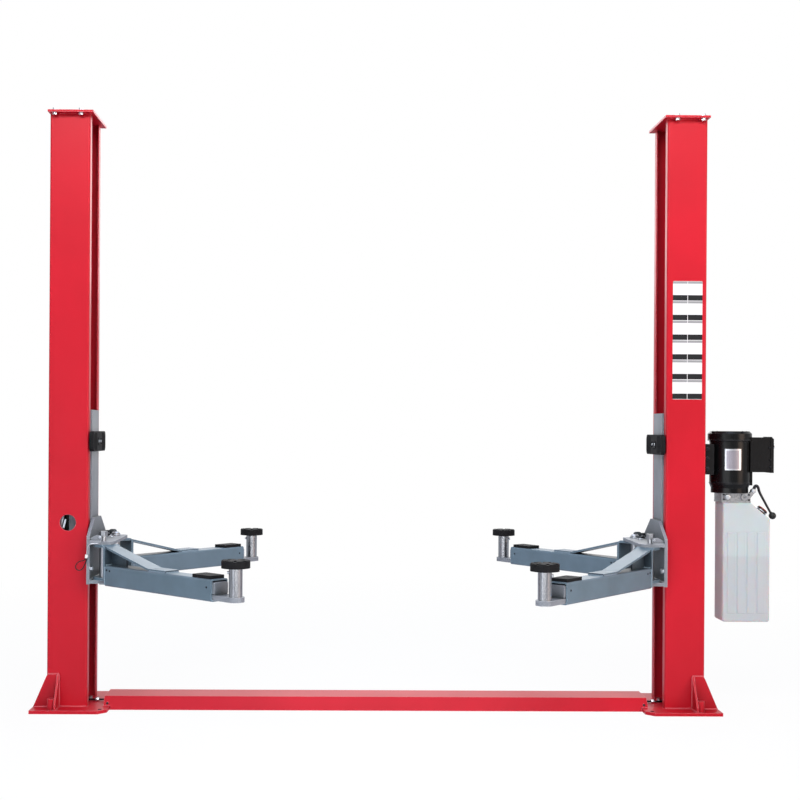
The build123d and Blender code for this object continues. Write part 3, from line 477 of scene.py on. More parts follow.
mouldings = {
    # black natural rubber: matt, dusty on the high spots
    "blackRubber": {
        "colour": "#121213", "dusty": "#1e1e20", "pebble": 0.003, "patch": 0.04, "rough": 0.62,
        "relief": 0.35, "ior": 1.52, "gloss": 0.07,
    },
    # black ABS of the switch box, moulded with a fine grain: nearly matt
    "blackABS": {
        "colour": "#0a0b0c", "dusty": "#101113", "pebble": 0.002, "patch": 0.06, "rough": 0.4,
        "relief": 0.2, "ior": 1.54, "gloss": 0.12,
    },
    # black PVC of the finger loop's dip, the sleeves and the caps: smooth with a soft gloss
    "blackPVC": {
        "colour": "#0c0d0e", "dusty": "#141517", "pebble": 0.0015, "patch": 0.02, "rough": 0.3,
        "relief": 0.1, "ior": 1.53, "gloss": 0.25,
    },
    # cast nylon slide blocks: waxy ivory, greased
    "castNylon": {
        "colour": "#cfc9b6", "dusty": "#b7ae96", "pebble": 0.004, "patch": 0.05, "rough": 0.42,
        "relief": 0.15, "ior": 1.53, "gloss": 0.4,
    },
    # natural polyethylene of the blow-moulded tank: milky and soft in sheen
    "milkyPolyethylene": {
        "colour": "#b6c0c4", "dusty": "#aeb8bc", "pebble": 0.003, "patch": 0.12, "rough": 0.42,
        "relief": 0.1, "ior": 1.51, "gloss": 0.4, "oil": "#adb4b9", "oilTop": 0.742, "oilFade": 0.012,
        "milk": 0.6,
    },
    # red silicone seal of the filler cap: soft satin
    "redSilicone": {
        "colour": "#c23a1e", "dusty": "#a8301a", "pebble": 0.002, "patch": 0.01, "rough": 0.4,
        "relief": 0.1, "ior": 1.43, "gloss": 0.4,
    },
    # white nylon of the ferrule's cover, moulded: clean, with a slight sheen
    "whiteNylon": {
        "colour": "#f0efee", "dusty": "#e0dfdd", "pebble": 0.0015, "patch": 0.01, "rough": 0.36,
        "relief": 0.1, "ior": 1.53, "gloss": 0.4,
    },
}

# chart sheet on the right post: where it lies, and its rows of pale cells over charcoal bands; a row's
# tones start at these shares of its height
chart = {
    "x": (1.398, 1.539), "z": (1.487, 2.049), "y": -0.13, "sheet": 0.0004, "corner": 0.004, "rows": 6,
    "divider": 0.0012, "white": "#d9dadc", "grey": "#8f9194", "charcoal": "#1d1e20",
    "tones": ((0.0, "white"), (0.015, "charcoal"), (0.29, "white"), (0.87, "grey"), (0.985, "white")),
}


# printed vinyl film: flat inks under a smooth clear skin
def makeVinyl(name, look):
    material, tree = startMaterial(name)
    place = addNode(tree, "ShaderNodeTexCoord").outputs["Object"]
    place = addNode(tree, "ShaderNodeSeparateXYZ", None, {0: place})
    row = addNode(
        tree, "ShaderNodeMapRange",
        {"From Min": look["z"][0], "From Max": look["z"][1], "To Max": look["rows"], "clamp": False},
        {"Value": place.outputs["Z"]},
    )
    inRow = addNode(tree, "ShaderNodeMath", {"operation": "FRACT"}, {0: row.outputs["Result"]})
    bands = addNode(tree, "ShaderNodeValToRGB", None, {"Fac": inRow.outputs[0]})
    bands.color_ramp.interpolation = "CONSTANT"
    for at, tone in look["tones"][2:]:
        bands.color_ramp.elements.new(at)
    for stop, (at, tone) in zip(bands.color_ramp.elements, look["tones"]):
        stop.position = at
        stop.color = toLinear(look[tone])
    middle = addNode(
        tree, "ShaderNodeMath", {"operation": "COMPARE", 1: sum(look["x"]) / 2, 2: look["divider"]},
        {0: place.outputs["X"]},
    )
    printed = addNode(
        tree, "ShaderNodeMix", {"data_type": "RGBA", 7: toLinear(look["white"])},
        {0: middle.outputs[0], 6: bands.outputs["Color"]},
    )
    film = addNode(
        tree, "ShaderNodeBsdfPrincipled", {"Roughness": 0.3, "IOR": 1.5, "Specular IOR Level": 0.2},
        {"Base Color": printed.outputs[2]},
    )
    addNode(tree, "ShaderNodeOutputMaterial", None, {"Surface": film.outputs[0]})
    return material


materials = {"printedVinyl": makeVinyl("printedVinyl", chart)}
materials.update({name: makePaint(name, look) for name, look in paints.items()})
materials.update({name: makeMetal(name, look) for name, look in metals.items()})
materials.update({name: makeMoulded(name, look) for name, look in mouldings.items()})

# the finish of each of the record's material slots, and the slot of each finish
slotFinish = {
    "red_paint": "redPowderCoat", "grey_paint": "greyEnamel", "blue_grey_paint": "blueGreyEnamel",
    "dark_paint": "blackEnamel", "motor_paint": "motorEnamel", "chrome_rod": "hardChrome",
    "machined_steel": "groundSteel", "oiled_steel": "oiledSteel", "zinc_plate": "zincPlate",
    "steel_wire": "strandedSteel", "slide_nylon": "castNylon", "black_rubber": "blackRubber",
    "switch_plastic": "blackABS", "cast_aluminium": "castAluminium", "tank_plastic": "milkyPolyethylene",
    "black_plastic": "blackPVC", "white_plastic": "whiteNylon",
}
finishSlot = {finish: slot for slot, finish in slotFinish.items()}
finishSlot.update({
    "brushedAluminium": "cast_aluminium", "greyAnodise": "cast_aluminium", "printedVinyl": "white_plastic",
    "blackOxide": "machined_steel", "redSilicone": "black_plastic", "springSteel": "steel_wire",
    "reflectStreakZinc": "zinc_plate",
})


def paintWith(piece, finish):
    if piece.material_slots:
        for slot in piece.material_slots:
            slot.material = materials[finish]
    else:
        piece.data.materials.append(materials[finish])


# a primitive, alone in the selection
def addShape(operator, **settings):
    bpy.ops.object.select_all(action="DESELECT")
    operator(**settings)
    return bpy.context.object


# edit mode, with the faces that pass the test selected
def pickFaces(piece, test):
    bpy.ops.object.mode_set(mode="EDIT")
    bpy.ops.mesh.select_mode(type="FACE")
    bpy.ops.mesh.select_all(action="DESELECT")
    shape = bmesh.from_edit_mesh(piece.data)
    for face in shape.faces:
        if test(face):
            face.select_set(True)
    bmesh.update_edit_mesh(piece.data)


def extrudeFaces(x=0, y=0, z=0):
    bpy.ops.mesh.extrude_region_move(TRANSFORM_OT_translate={"value": (x, y, z)})


def softenEdges(piece, width, segments=2):
    bevel = piece.modifiers.new("bevel", "BEVEL")
    bevel.width = width
    bevel.segments = segments
    bevel.limit_method = "ANGLE"
    bevel.angle_limit = radians(40)
    bpy.context.view_layer.objects.active = piece
    bpy.ops.object.modifier_apply(modifier=bevel.name)


# the object's place, turn and size moved into its mesh
def settle():
    bpy.ops.object.transform_apply(location=True, rotation=True, scale=True)


# several objects made one, placed in its own mesh
def joinPieces(parts, name):
    bpy.ops.object.select_all(action="DESELECT")
    for part in parts:
        part.select_set(True)
    bpy.context.view_layer.objects.active = parts[0]
    bpy.ops.object.convert(target="MESH")
    settle()
    if len(parts) > 1:
        bpy.ops.object.join()
    parts[0].name = name
    return parts[0]


# copies of a model, each with its own mesh, its +Z turned to the given direction
def spread(model, name, placements):
    copies = []
    for place, aim in placements:
        copy = model.copy()
        copy.data = model.data.copy()
        copy.location = place
        copy.rotation_euler = Vector(aim).to_track_quat("Z", "Y").to_euler()
        scene.collection.objects.link(copy)
        copies.append(copy)
    bpy.data.objects.remove(model)
    return joinPieces(copies, name)


def finishPiece(piece, body, finish, smooth=35):
    bpy.ops.object.select_all(action="DESELECT")
    piece.select_set(True)
    bpy.context.view_layer.objects.active = piece
    bpy.ops.object.shade_smooth_by_angle(angle=radians(smooth))
    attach(piece, body)
    paintWith(piece, finish)
    return piece


# hexagon head with turned-off corners on a flat washer, standing on z = 0
def makeBolt(look):
    washer = addShape(
        bpy.ops.mesh.primitive_cylinder_add, vertices=28, radius=look["washer"] / 2, depth=look["sheet"],
        location=(0, 0, look["sheet"] / 2),
    )
    softenEdges(washer, 0.3 * look["sheet"])
    head = addShape(
        bpy.ops.mesh.primitive_cylinder_add, vertices=6, radius=look["corners"] / 2, depth=look["height"],
        location=(0, 0, look["sheet"] + look["height"] / 2),
    )
    pickFaces(head, lambda face: face.normal.z > 0.9)
    bpy.ops.mesh.inset(thickness=0.09 * look["corners"])
    bpy.ops.transform.translate(value=(0, 0, 0.04 * look["corners"]))
    bpy.ops.mesh.inset(thickness=0.14 * look["corners"])
    bpy.ops.transform.translate(value=(0, 0, -0.02 * look["corners"]))
    bpy.ops.object.mode_set(mode="OBJECT")
    return joinPieces([washer, head], "boltModel")


# round screw head with a rounded rim and a socket, standing on z = 0
def makeScrew(look):
    head = addShape(
        bpy.ops.mesh.primitive_cylinder_add, vertices=24, radius=look["head"] / 2, depth=look["height"],
        location=(0, 0, look["height"] / 2),
    )
    softenEdges(head, 0.3 * look["height"], 3)
    pickFaces(head, lambda face: face.normal.z > 0.9 and len(face.verts) > 8)
    bpy.ops.mesh.inset(thickness=0.22 * look["head"])
    extrudeFaces(z=-0.6 * look["height"])
    bpy.ops.object.mode_set(mode="OBJECT")
    return head


# arms: each rests at its own angle, in degrees from the line through both posts
armSet = {
    "pivot": (1.29, 0.16),
    "swing": {
        ("left", "front"): 43.9, ("right", "front"): 49.3, ("left", "rear"): 48.6, ("right", "rear"): 53.6,
    },
}


def armAxes(side, end):
    angle = radians(armSet["swing"][side, end])
    forward = Vector((-sides[side] * cos(angle), ends[end] * sin(angle), 0))
    return forward, forward.cross(Vector((0, 0, 1))) * -sides[side]


# a place on an arm: along it from the pivot, across it towards the viewer, and a height
def onArm(side, end, along, across, height):
    forward, near = armAxes(side, end)
    x, y = armSet["pivot"]
    return Vector((sides[side] * x, ends[end] * y, height)) + along * forward + across * near


# weld beads: rippled fillets along the joints, painted over with the steel
beads = {"width": 0.008, "pitch": 0.0045, "ripple": 0.16}


def layBeads(name, runs, body, finish):
    laid = []
    for start, end in runs:
        start, end = Vector(start), Vector(end)
        count = max(3, round((end - start).length / beads["pitch"]))
        points = [start.lerp(end, step / count) for step in range(count + 1)]
        swell = [1 + beads["ripple"] * (0.5 if step % 2 else -0.5) for step in range(count + 1)]
        laid.append(makeRod("bead", points, beads["width"], swell=swell, roundness=1))
    return finishPiece(joinPieces(laid, name), body, finish, 60)


# posts: along their faces, the flat ribs against them and the upright gussets beside those
postWelds = {
    "foot": 0.0165, "face": 0.1305, "faceRun": (1.374, 1.499),
    "rib": 0.1385, "ribRun": (1.51, 1.617), "ribHead": (0.132, 0.1705), "ribHeadRun": (1.502, 1.553),
    "gusset": (1.4995, 1.5085), "gussetRun": (0.142, 0.215), "gussetRise": (0.02, 0.166),
    "back": 1.5605, "backRun": (-0.12, 0.12),
}
# carriages: the pivot plates on the head plate, and the lugs on the upper one
carriageWelds = {
    "head": 1.3475, "headRun": (-0.196, 0.196), "plates": (0.8035, 0.788, 0.6225),
    "lug": (0.1815, 0.1945), "lugRun": (1.296, 1.345), "lugFoot": 0.8035,
}
# arms: the bracket round the tube's end, and the strap's landing on its top
armWelds = {
    "top": 0.6955, "bracket": 0.0745, "side": 0.0462, "sideRise": (0.606, 0.689), "topRun": (-0.04, 0.04),
    "strap": 0.0375, "strapRun": (0.4, 0.512), "strapEnd": 0.5155, "strapEndRun": (-0.036, 0.036),
}
for side, way in sides.items():
    look, runs = postWelds, []
    foot, (headFace, headTop) = look["foot"], look["ribHead"]
    for end in ends.values():
        runs.append([(way * x, end * look["face"], foot) for x in look["faceRun"]])
        runs.append([(way * x, end * headFace, headTop) for x in look["ribHeadRun"]])
        runs.append([(way * x, end * look["rib"], foot) for x in look["ribRun"]])
        for face in look["gusset"]:
            runs.append([(way * face, end * y, foot) for y in look["gussetRun"]])
            runs.append([(way * face, end * look["rib"], z) for z in look["gussetRise"]])
    runs.append([(way * look["back"], y, foot) for y in look["backRun"]])
    layBeads(f"{side}PostWelds", runs, "frame", "redPowderCoat")
    look = carriageWelds
    runs = [[(way * look["head"], y, z) for y in look["headRun"]] for z in look["plates"]]
    for end in ends.values():
        for face in look["lug"]:
            runs.append([(way * x, end * face, look["lugFoot"]) for x in look["lugRun"]])
    layBeads(f"{side}CarriageWelds", runs, f"{side}_carriage_group", "greyEnamel")
    look = armWelds
    for end in ends:
        runs = []
        for across in (-look["side"], look["side"]):
            runs.append([onArm(side, end, look["bracket"], across, z) for z in look["sideRise"]])
        runs.append([onArm(side, end, look["bracket"], across, look["top"]) for across in look["topRun"]])
        for across in (-look["strap"], look["strap"]):
            runs.append([onArm(side, end, along, across, look["top"]) for along in look["strapRun"]])
        runs.append([onArm(side, end, look["strapEnd"], y, look["top"]) for y in look["strapEndRun"]])
        layBeads(f"{side}{end.title()}ArmWelds", runs, f"{side}_{end}_arm_group", "blueGreyEnamel")
print("welds laid")

# cap plates: a bolt through the overhang at each corner, its nut underneath
capBolts = {
    "corners": 0.022, "height": 0.009, "washer": 0.0245, "sheet": 0.002,
    "x": (1.411, 1.534), "y": 0.148, "faces": ((2.83, 1), (2.82, -1)),
}
placements = []
for way in sides.values():
    for x in capBolts["x"]:
        for end in ends.values():
            for z, up in capBolts["faces"]:
                placements.append(((way * x, end * capBolts["y"], z), (0, 0, up)))
finishPiece(spread(makeBolt(capBolts), "capBolts", placements), "frame", "zincPlate")

# post feet: bolts through the cylinders' feet
footBolts = {
    "corners": 0.02, "height": 0.008, "washer": 0.023, "sheet": 0.002, "x": 1.39, "y": 0.059, "z": 0.016,
}
x, y, z = (footBolts[key] for key in "xyz")
placements = [((way * x, end * y, z), (0, 0, 1)) for way, end in corners]
finishPiece(spread(makeBolt(footBolts), "footBolts", placements), "frame", "zincPlate")

# floor cover: a dark screw in each hole of its sloping flanges
coverBolts = {"head": 0.0125, "height": 0.004, "x": 1.278, "y": 0.1052, "z": 0.026, "lean": (0.733, 0.68)}
x, y, z = (coverBolts[key] for key in "xyz")
out, up = coverBolts["lean"]
placements = [((way * x, end * y, z), (0, end * out, up)) for way, end in corners]
finishPiece(spread(makeScrew(coverBolts), "coverBolts", placements), "frame", "blackOxide")

# base plates: hollow black sleeves in the free anchor holes, a dark lining painted in for the shade down the
# holes
holeShadeSleeve = {
    "radius": 0.0097, "low": 0.0005, "high": 0.0163, "wall": 0.0012, "bore": 0.0145, "x": 1.297, "y": 0.19,
}
low, high = holeShadeSleeve["low"], holeShadeSleeve["high"]
sleeve = addShape(
    bpy.ops.mesh.primitive_cylinder_add, vertices=32, radius=holeShadeSleeve["radius"], depth=high - low,
    location=(0, 0, (high + low) / 2),
)
settle()
pickFaces(sleeve, lambda face: face.normal.z > 0.9)
bpy.ops.mesh.inset(thickness=holeShadeSleeve["wall"])
extrudeFaces(z=-holeShadeSleeve["bore"])
bpy.ops.object.mode_set(mode="OBJECT")
placements = [((way * holeShadeSleeve["x"], end * holeShadeSleeve["y"], 0), (0, 0, 1)) for way, end in corners]
finishPiece(spread(sleeve, "holeShadeSleeves", placements), "frame", "blackPVC")

# oil pipe from cylinder to cylinder under the floor cover; each union is its start, end and width
oilPipe = {
    "diameter": 0.009, "y": -0.005, "z": 0.0235, "port": 1.461,
    "unions": ((1.336, 1.355, 0.02), (1.4, 1.412, 0.016), (1.44, 1.462, 0.022)), "rounding": 0.0015,
}
y, z = oilPipe["y"], oilPipe["z"]
pipe = makeRod("oilPipe", [(x, y, z) for x in (-oilPipe["port"], 0, oilPipe["port"])], oilPipe["diameter"])
finishPiece(joinPieces([pipe], "oilPipe"), "frame", "blackOxide")
nuts = []
for way in sides.values():
    for start, end, width in oilPipe["unions"]:
        nut = addShape(
            bpy.ops.mesh.primitive_cylinder_add, vertices=6, radius=width / 2, depth=end - start,
            location=(way * (start + end) / 2, y, z), rotation=(0, radians(90), 0),
        )
        softenEdges(nut, oilPipe["rounding"])
        nuts.append(nut)
finishPiece(joinPieces(nuts, "pipeUnions"), "frame", "zincPlate")
print("caps and feet fitted")

# carriages: a hexagon bolt behind each arm bracket, and the arm locks on the upper plate
headBolts = {
    "corners": 0.0265, "height": 0.009, "washer": 0.029, "sheet": 0.0025, "x": 1.348, "y": 0.18, "z": 0.675,
}
splitRings = {
    "pinRing": {
        "place": (1.29, 0.16, 0.8052), "radius": 0.0235, "wire": 0.0035, "turns": 1.6, "rise": 0.0035,
    },
    "pullRing": {
        "place": (1.292, 0.055, 0.8045), "radius": 0.0125, "wire": 0.0028, "turns": 1.6, "rise": 0.0028,
    },
}
# each step of the knob lifts its face and then widens or narrows it
lockKnob = {
    "x": 1.327, "y": 0.139, "z": 0.806, "radius": 0.011, "foot": 0.006, "shoulder": 0.0065,
    "steps": ((0.011, 1.0), (0.0, 2.1), (0.008, 1.0), (0.0015, 0.8)),
}
lockSpring = {"radius": 0.0078, "wire": 0.0016, "turns": 4, "rise": 0.0095, "z": 0.8105}
lugScrews = {"head": 0.011, "height": 0.005, "x": 1.301, "y": 0.194, "z": 0.821}


# round wire wound in climbing turns, as a split ring or a spring is
def windWire(name, middle, look, perTurn=20):
    count = round(perTurn * look["turns"])
    points = []
    for step in range(count + 1):
        angle = 2 * pi * step / perTurn
        around = Vector((cos(angle), sin(angle), 0)) * look["radius"]
        points.append(Vector(middle) + around + Vector((0, 0, look["rise"] * step / count)))
    return makeRod(name, points, look["wire"])


for side, way in sides.items():
    body = f"{side}_carriage_group"
    x, y, z = (headBolts[key] for key in "xyz")
    placements = [((way * x, end * y, z), (-way, 0, 0)) for end in ends.values()]
    finishPiece(spread(makeBolt(headBolts), f"{side}HeadBolts", placements), body, "zincPlate")
    rings = []
    for name, look in splitRings.items():
        x, y, z = look["place"]
        rings.append(windWire(name, (way * x, y, z), look))
    finishPiece(joinPieces(rings, f"{side}SplitRings"), body, "zincPlate", 60)
    x, y, z = (lockKnob[key] for key in "xyz")
    knob = addShape(
        bpy.ops.mesh.primitive_cylinder_add, vertices=20, radius=lockKnob["radius"], depth=lockKnob["foot"],
        location=(way * x, y, z),
    )
    pickFaces(knob, lambda face: face.normal.z > 0.9)
    bpy.ops.mesh.inset(thickness=lockKnob["shoulder"])
    for lift, size in lockKnob["steps"]:
        extrudeFaces(z=lift)
        bpy.ops.transform.resize(value=(size, size, 1))
    bpy.ops.object.mode_set(mode="OBJECT")
    finishPiece(joinPieces([knob], f"{side}LockKnob"), body, "blackOxide")
    spring = windWire("spring", (way * x, y, lockSpring["z"]), lockSpring)
    finishPiece(joinPieces([spring], f"{side}LockSpring"), body, "springSteel", 60)
    x, y, z = (lugScrews[key] for key in "xyz")
    placements = [((way * x, end * y, z), (0, end, 0)) for end in ends.values()]
    finishPiece(spread(makeScrew(lugScrews), f"{side}LugScrews", placements), body, "zincPlate")
print("arm locks fitted")

# arms: stop screws near the pivot and near the tube's mouth, each by its place along the arm and its
# height, and the lock screw on each pad sleeve
armScrews = {
    "head": 0.0095, "height": 0.003, "side": 0.046,
    "near": ((0.09, 0.675), (0.112, 0.672), (0.805, 0.66)), "far": ((0.09, 0.675), (0.805, 0.66)),
}
padScrew = {
    "corners": 0.013, "height": 0.006, "washer": 0.014, "sheet": 0.001,
    "along": 0.94, "z": 0.73, "out": 0.0288,
}
for side, way in sides.items():
    for end in ends:
        near = armAxes(side, end)[1]
        placements = []
        for facing, row in ((1, "near"), (-1, "far")):
            for along, z in armScrews[row]:
                placements.append((onArm(side, end, along, facing * armScrews["side"], z), facing * near))
        piece = spread(makeScrew(armScrews), f"{side}{end.title()}ArmScrews", placements)
        finishPiece(piece, f"{side}_{end}_arm_group", "blackOxide")
        place = onArm(side, end, padScrew["along"], 0, padScrew["z"]) + Vector((way * padScrew["out"], 0, 0))
        piece = spread(makeBolt(padScrew), f"{side}{end.title()}PadScrew", [(place, (way, 0, 0))])
        finishPiece(piece, f"{side}_{end}_extension_group", "zincPlate")
print("arm screws fitted")

# door guards: two screws in a moulded recess frame, between upright ribs that shorten at the ends
guardScrews = {"head": 0.013, "height": 0.004, "y": 0.024, "sunk": 0.001}
guardFrame = {"x": 1.342, "z": 1.27, "size": (0.078, 0.036), "proud": 0.003, "rim": 0.004, "well": 0.0027}
guardRibs = {"places": (0.07, 0.09, 0.11, 0.13), "size": (0.004, 0.006), "tall": 0.042, "endTall": 0.034}
for side, way in sides.items():
    body = f"{side}_carriage_group"
    face, z = guardFrame["x"], guardFrame["z"]
    y, sunk = guardScrews["y"], guardScrews["sunk"]
    placements = [((way * (face - sunk), end * y, z), (-way, 0, 0)) for end in ends.values()]
    finishPiece(spread(makeScrew(guardScrews), f"{side}GuardScrews", placements), body, "zincPlate")
    frameRing = addShape(
        bpy.ops.mesh.primitive_cube_add, size=1, location=(way * face, 0, z),
        scale=(2 * guardFrame["proud"], *guardFrame["size"]),
    )
    settle()
    pickFaces(frameRing, lambda face: face.normal.x * way < -0.9)
    bpy.ops.mesh.inset(thickness=guardFrame["rim"])
    extrudeFaces(x=way * guardFrame["well"])
    bpy.ops.object.mode_set(mode="OBJECT")
    softenEdges(frameRing, 0.0008)
    ribs = [frameRing]
    for across in [-y for y in reversed(guardRibs["places"])] + list(guardRibs["places"]):
        tall = guardRibs["endTall" if abs(across) == guardRibs["places"][-1] else "tall"]
        rib = addShape(
            bpy.ops.mesh.primitive_cube_add, size=1, location=(way * face, across, z),
            scale=(*guardRibs["size"], 2 * tall),
        )
        softenEdges(rib, 0.0018, 3)
        ribs.append(rib)
    finishPiece(joinPieces(ribs, f"{side}GuardRibs"), body, "blackRubber")
print("door guards dressed")

# motor: a blank anodised rating plate, wrapped round the housing, with a darker field on it
motor = {"x": 1.713, "plateZ": 1.2007, "plateTurn": -7.4}
ratingSheets = {
    "brushedAluminium": {"radius": 0.0953, "tall": 0.102, "half": 23.2, "sheet": 0.0006, "corner": 0.004},
    "greyAnodise": {"radius": 0.09592, "tall": 0.088, "half": 18.4, "sheet": 0.0001, "corner": 0.002},
}


# how far a place lies round the motor from the rating plate's middle, in degrees
def plateAngle(point):
    return degrees(atan2(point.x - motor["x"], -point.y)) - motor["plateTurn"]


# the way out from the motor's axis at a turn from its front
def awayFromMotor(turn):
    return Vector((sin(radians(turn)), -cos(radians(turn)), 0))


for finish, look in ratingSheets.items():
    plate = addShape(
        bpy.ops.mesh.primitive_cylinder_add, vertices=240, radius=look["radius"], depth=look["tall"],
        end_fill_type="NOTHING", location=(motor["x"], 0, motor["plateZ"]),
    )
    settle()
    pickFaces(plate, lambda face: abs(plateAngle(face.calc_center_median())) > look["half"])
    bpy.ops.mesh.delete(type="FACE")
    bpy.ops.mesh.select_mode(type="VERT")
    bpy.ops.mesh.select_all(action="DESELECT")
    shape = bmesh.from_edit_mesh(plate.data)
    widest = max(abs(plateAngle(point.co)) for point in shape.verts)
    for point in shape.verts:  # the four corners: the points within half a facet of either end
        if abs(plateAngle(point.co)) > widest - 0.8:
            point.select_set(True)
    bmesh.update_edit_mesh(plate.data)
    bpy.ops.mesh.bevel(offset=look["corner"], segments=3, affect="VERTICES")
    bpy.ops.object.mode_set(mode="OBJECT")
    thick = plate.modifiers.new("thick", "SOLIDIFY")
    thick.thickness = look["sheet"]
    thick.offset = 1
    bpy.ops.object.modifier_apply(modifier=thick.name)
    finishPiece(plate, "frame", finish, 20)
plate.name = "ratingPlate"  # the darker field; the plate under it keeps its primitive's name
rivets = {"head": 0.005, "height": 0.0016, "turns": (-20.5, 20.5), "rises": (-0.045, 0.045), "radius": 0.0957}
placements = []
for turn in rivets["turns"]:
    out = awayFromMotor(motor["plateTurn"] + turn)
    for rise in rivets["rises"]:
        placements.append((Vector((motor["x"], 0, motor["plateZ"] + rise)) + out * rivets["radius"], out))
finishPiece(spread(makeScrew(rivets), "plateRivets", placements), "frame", "zincPlate")
tieBolts = {
    "corners": 0.012, "height": 0.005, "washer": 0.014, "sheet": 0.001,
    "turns": (20, 110, 200, 290), "radius": 0.0972, "z": 1.3302,
}
placements = []
for turn in tieBolts["turns"]:
    out = awayFromMotor(turn)
    place = Vector((motor["x"], 0, tieBolts["z"])) + out * tieBolts["radius"]
    placements.append((place, out + Vector((0, 0, 1))))
finishPiece(spread(makeBolt(tieBolts), "tieBolts", placements), "frame", "blackOxide")

# raised bands pressed round the housing and the bell's rim, each by its radius, height and width
motorBands = {
    "bands": ((0.0962, 1.0865, 0.008), (0.1048, 1.294, 0.005), (0.0958, 1.2865, 0.004)),
    "section": 0.0018, "sunk": 0.001,
}
bands = []
for radius, z, wide in motorBands["bands"]:
    band = addShape(
        bpy.ops.mesh.primitive_torus_add, major_segments=96, minor_segments=8, location=(motor["x"], 0, z),
        major_radius=radius - motorBands["sunk"], minor_radius=motorBands["section"],
    )
    bpy.ops.transform.resize(value=(1, 1, wide / (2 * motorBands["section"])))
    bands.append(band)
finishPiece(joinPieces(bands, "motorBands"), "frame", "motorEnamel", 50)
print("motor dressed")

# switch box: lid screws on both sides, cover screws on the end, and the push button in its bezel
lidScrews = {
    "head": 0.009, "height": 0.003, "y": 0.056, "places": ((1.889, 1.258), (1.893, 1.2), (1.893, 1.166)),
}
y = lidScrews["y"]
placements = [((x, end * y, z), (0, end, 0)) for end in ends.values() for x, z in lidScrews["places"]]
finishPiece(spread(makeScrew(lidScrews), "lidScrews", placements), "frame", "blackOxide")
coverScrews = {"head": 0.008, "height": 0.003, "x": 1.91, "y": 0.045, "z": (1.22, 1.15)}
x, y = coverScrews["x"], coverScrews["y"]
placements = [((x, end * y, z), (1, 0, 0)) for z in coverScrews["z"] for end in ends.values()]
finishPiece(spread(makeScrew(coverScrews), "coverScrews", placements), "frame", "zincPlate")
bezelLook = {"place": (1.9255, 0, 1.266), "radius": 0.0142, "deep": 0.005, "rim": 0.0032, "well": 0.003}
bezel = addShape(
    bpy.ops.mesh.primitive_cylinder_add, vertices=40, radius=bezelLook["radius"], depth=bezelLook["deep"],
    location=bezelLook["place"], rotation=(0, radians(90), 0),
)
settle()
pickFaces(bezel, lambda face: face.normal.x > 0.9)
bpy.ops.mesh.inset(thickness=bezelLook["rim"])
extrudeFaces(x=-bezelLook["well"])
bpy.ops.object.mode_set(mode="OBJECT")
softenEdges(bezel, 0.0006)
finishPiece(bezel, "frame", "zincPlate")
bezel.name = "buttonBezel"
capLook = {"place": (1.9265, 0, 1.266), "radius": 0.0105, "deep": 0.006, "rim": 0.003, "dish": 0.0012}
cap = addShape(
    bpy.ops.mesh.primitive_cylinder_add, vertices=32, radius=capLook["radius"], depth=capLook["deep"],
    location=capLook["place"], rotation=(0, radians(90), 0),
)
settle()
softenEdges(cap, 0.0015, 3)
pickFaces(cap, lambda face: face.normal.x > 0.95 and len(face.verts) > 8)
bpy.ops.mesh.inset(thickness=capLook["rim"])
bpy.ops.transform.translate(value=(-capLook["dish"], 0, 0))
bpy.ops.object.mode_set(mode="OBJECT")
finishPiece(cap, "frame", "blackPVC")
cap.name = "buttonCap"

# unit bracket: three bolts on each side
bracketBolts = {
    "corners": 0.019, "height": 0.008, "washer": 0.022, "sheet": 0.002,
    "x": 1.5845, "y": 0.066, "z": (1.155, 1.205, 1.25),
}
x, y = bracketBolts["x"], bracketBolts["y"]
placements = [((x, end * y, z), (0, end, 0)) for end in ends.values() for z in bracketBolts["z"]]
finishPiece(spread(makeBolt(bracketBolts), "bracketBolts", placements), "frame", "blackOxide")

# valve block: corner screws, a hexagon union on the boss, and a ring round the plug
blockScrews = {
    "head": 0.01, "height": 0.005, "y": -0.06,
    "places": ((1.668, 1.031), (1.668, 1.01), (1.789, 1.031), (1.79, 1.006)),
}
placements = [((x, blockScrews["y"], z), (0, -1, 0)) for x, z in blockScrews["places"]]
finishPiece(spread(makeScrew(blockScrews), "blockScrews", placements), "frame", "blackOxide")
# each step of the union narrows its face and then pushes it out or in
blockUnion = {
    "place": (1.683, -0.0725, 1.02), "radius": 0.0125, "deep": 0.012,
    "steps": ((0.004, -0.003), (0.002, 0.004)),
}
union = addShape(
    bpy.ops.mesh.primitive_cylinder_add, vertices=6, radius=blockUnion["radius"], depth=blockUnion["deep"],
    location=blockUnion["place"], rotation=(radians(90), 0, 0),
)
settle()
softenEdges(union, 0.0012)
pickFaces(union, lambda face: face.normal.y < -0.95 and face.calc_area() > 0.0001)
for narrower, push in blockUnion["steps"]:
    bpy.ops.mesh.inset(thickness=narrower)
    extrudeFaces(y=push)
bpy.ops.object.mode_set(mode="OBJECT")
plugRing = {"place": (1.765, -0.0668, 1.02), "radius": 0.0142, "section": 0.0018, "deeper": 1.4}
ring = addShape(
    bpy.ops.mesh.primitive_torus_add, major_segments=40, minor_segments=10, major_radius=plugRing["radius"],
    minor_radius=plugRing["section"], location=plugRing["place"], rotation=(radians(90), 0, 0),
)
bpy.ops.transform.resize(value=(1, plugRing["deeper"], 1))
finishPiece(joinPieces([union, ring], "blockFittings"), "frame", "zincPlate")
print("switch box and valve block dressed")

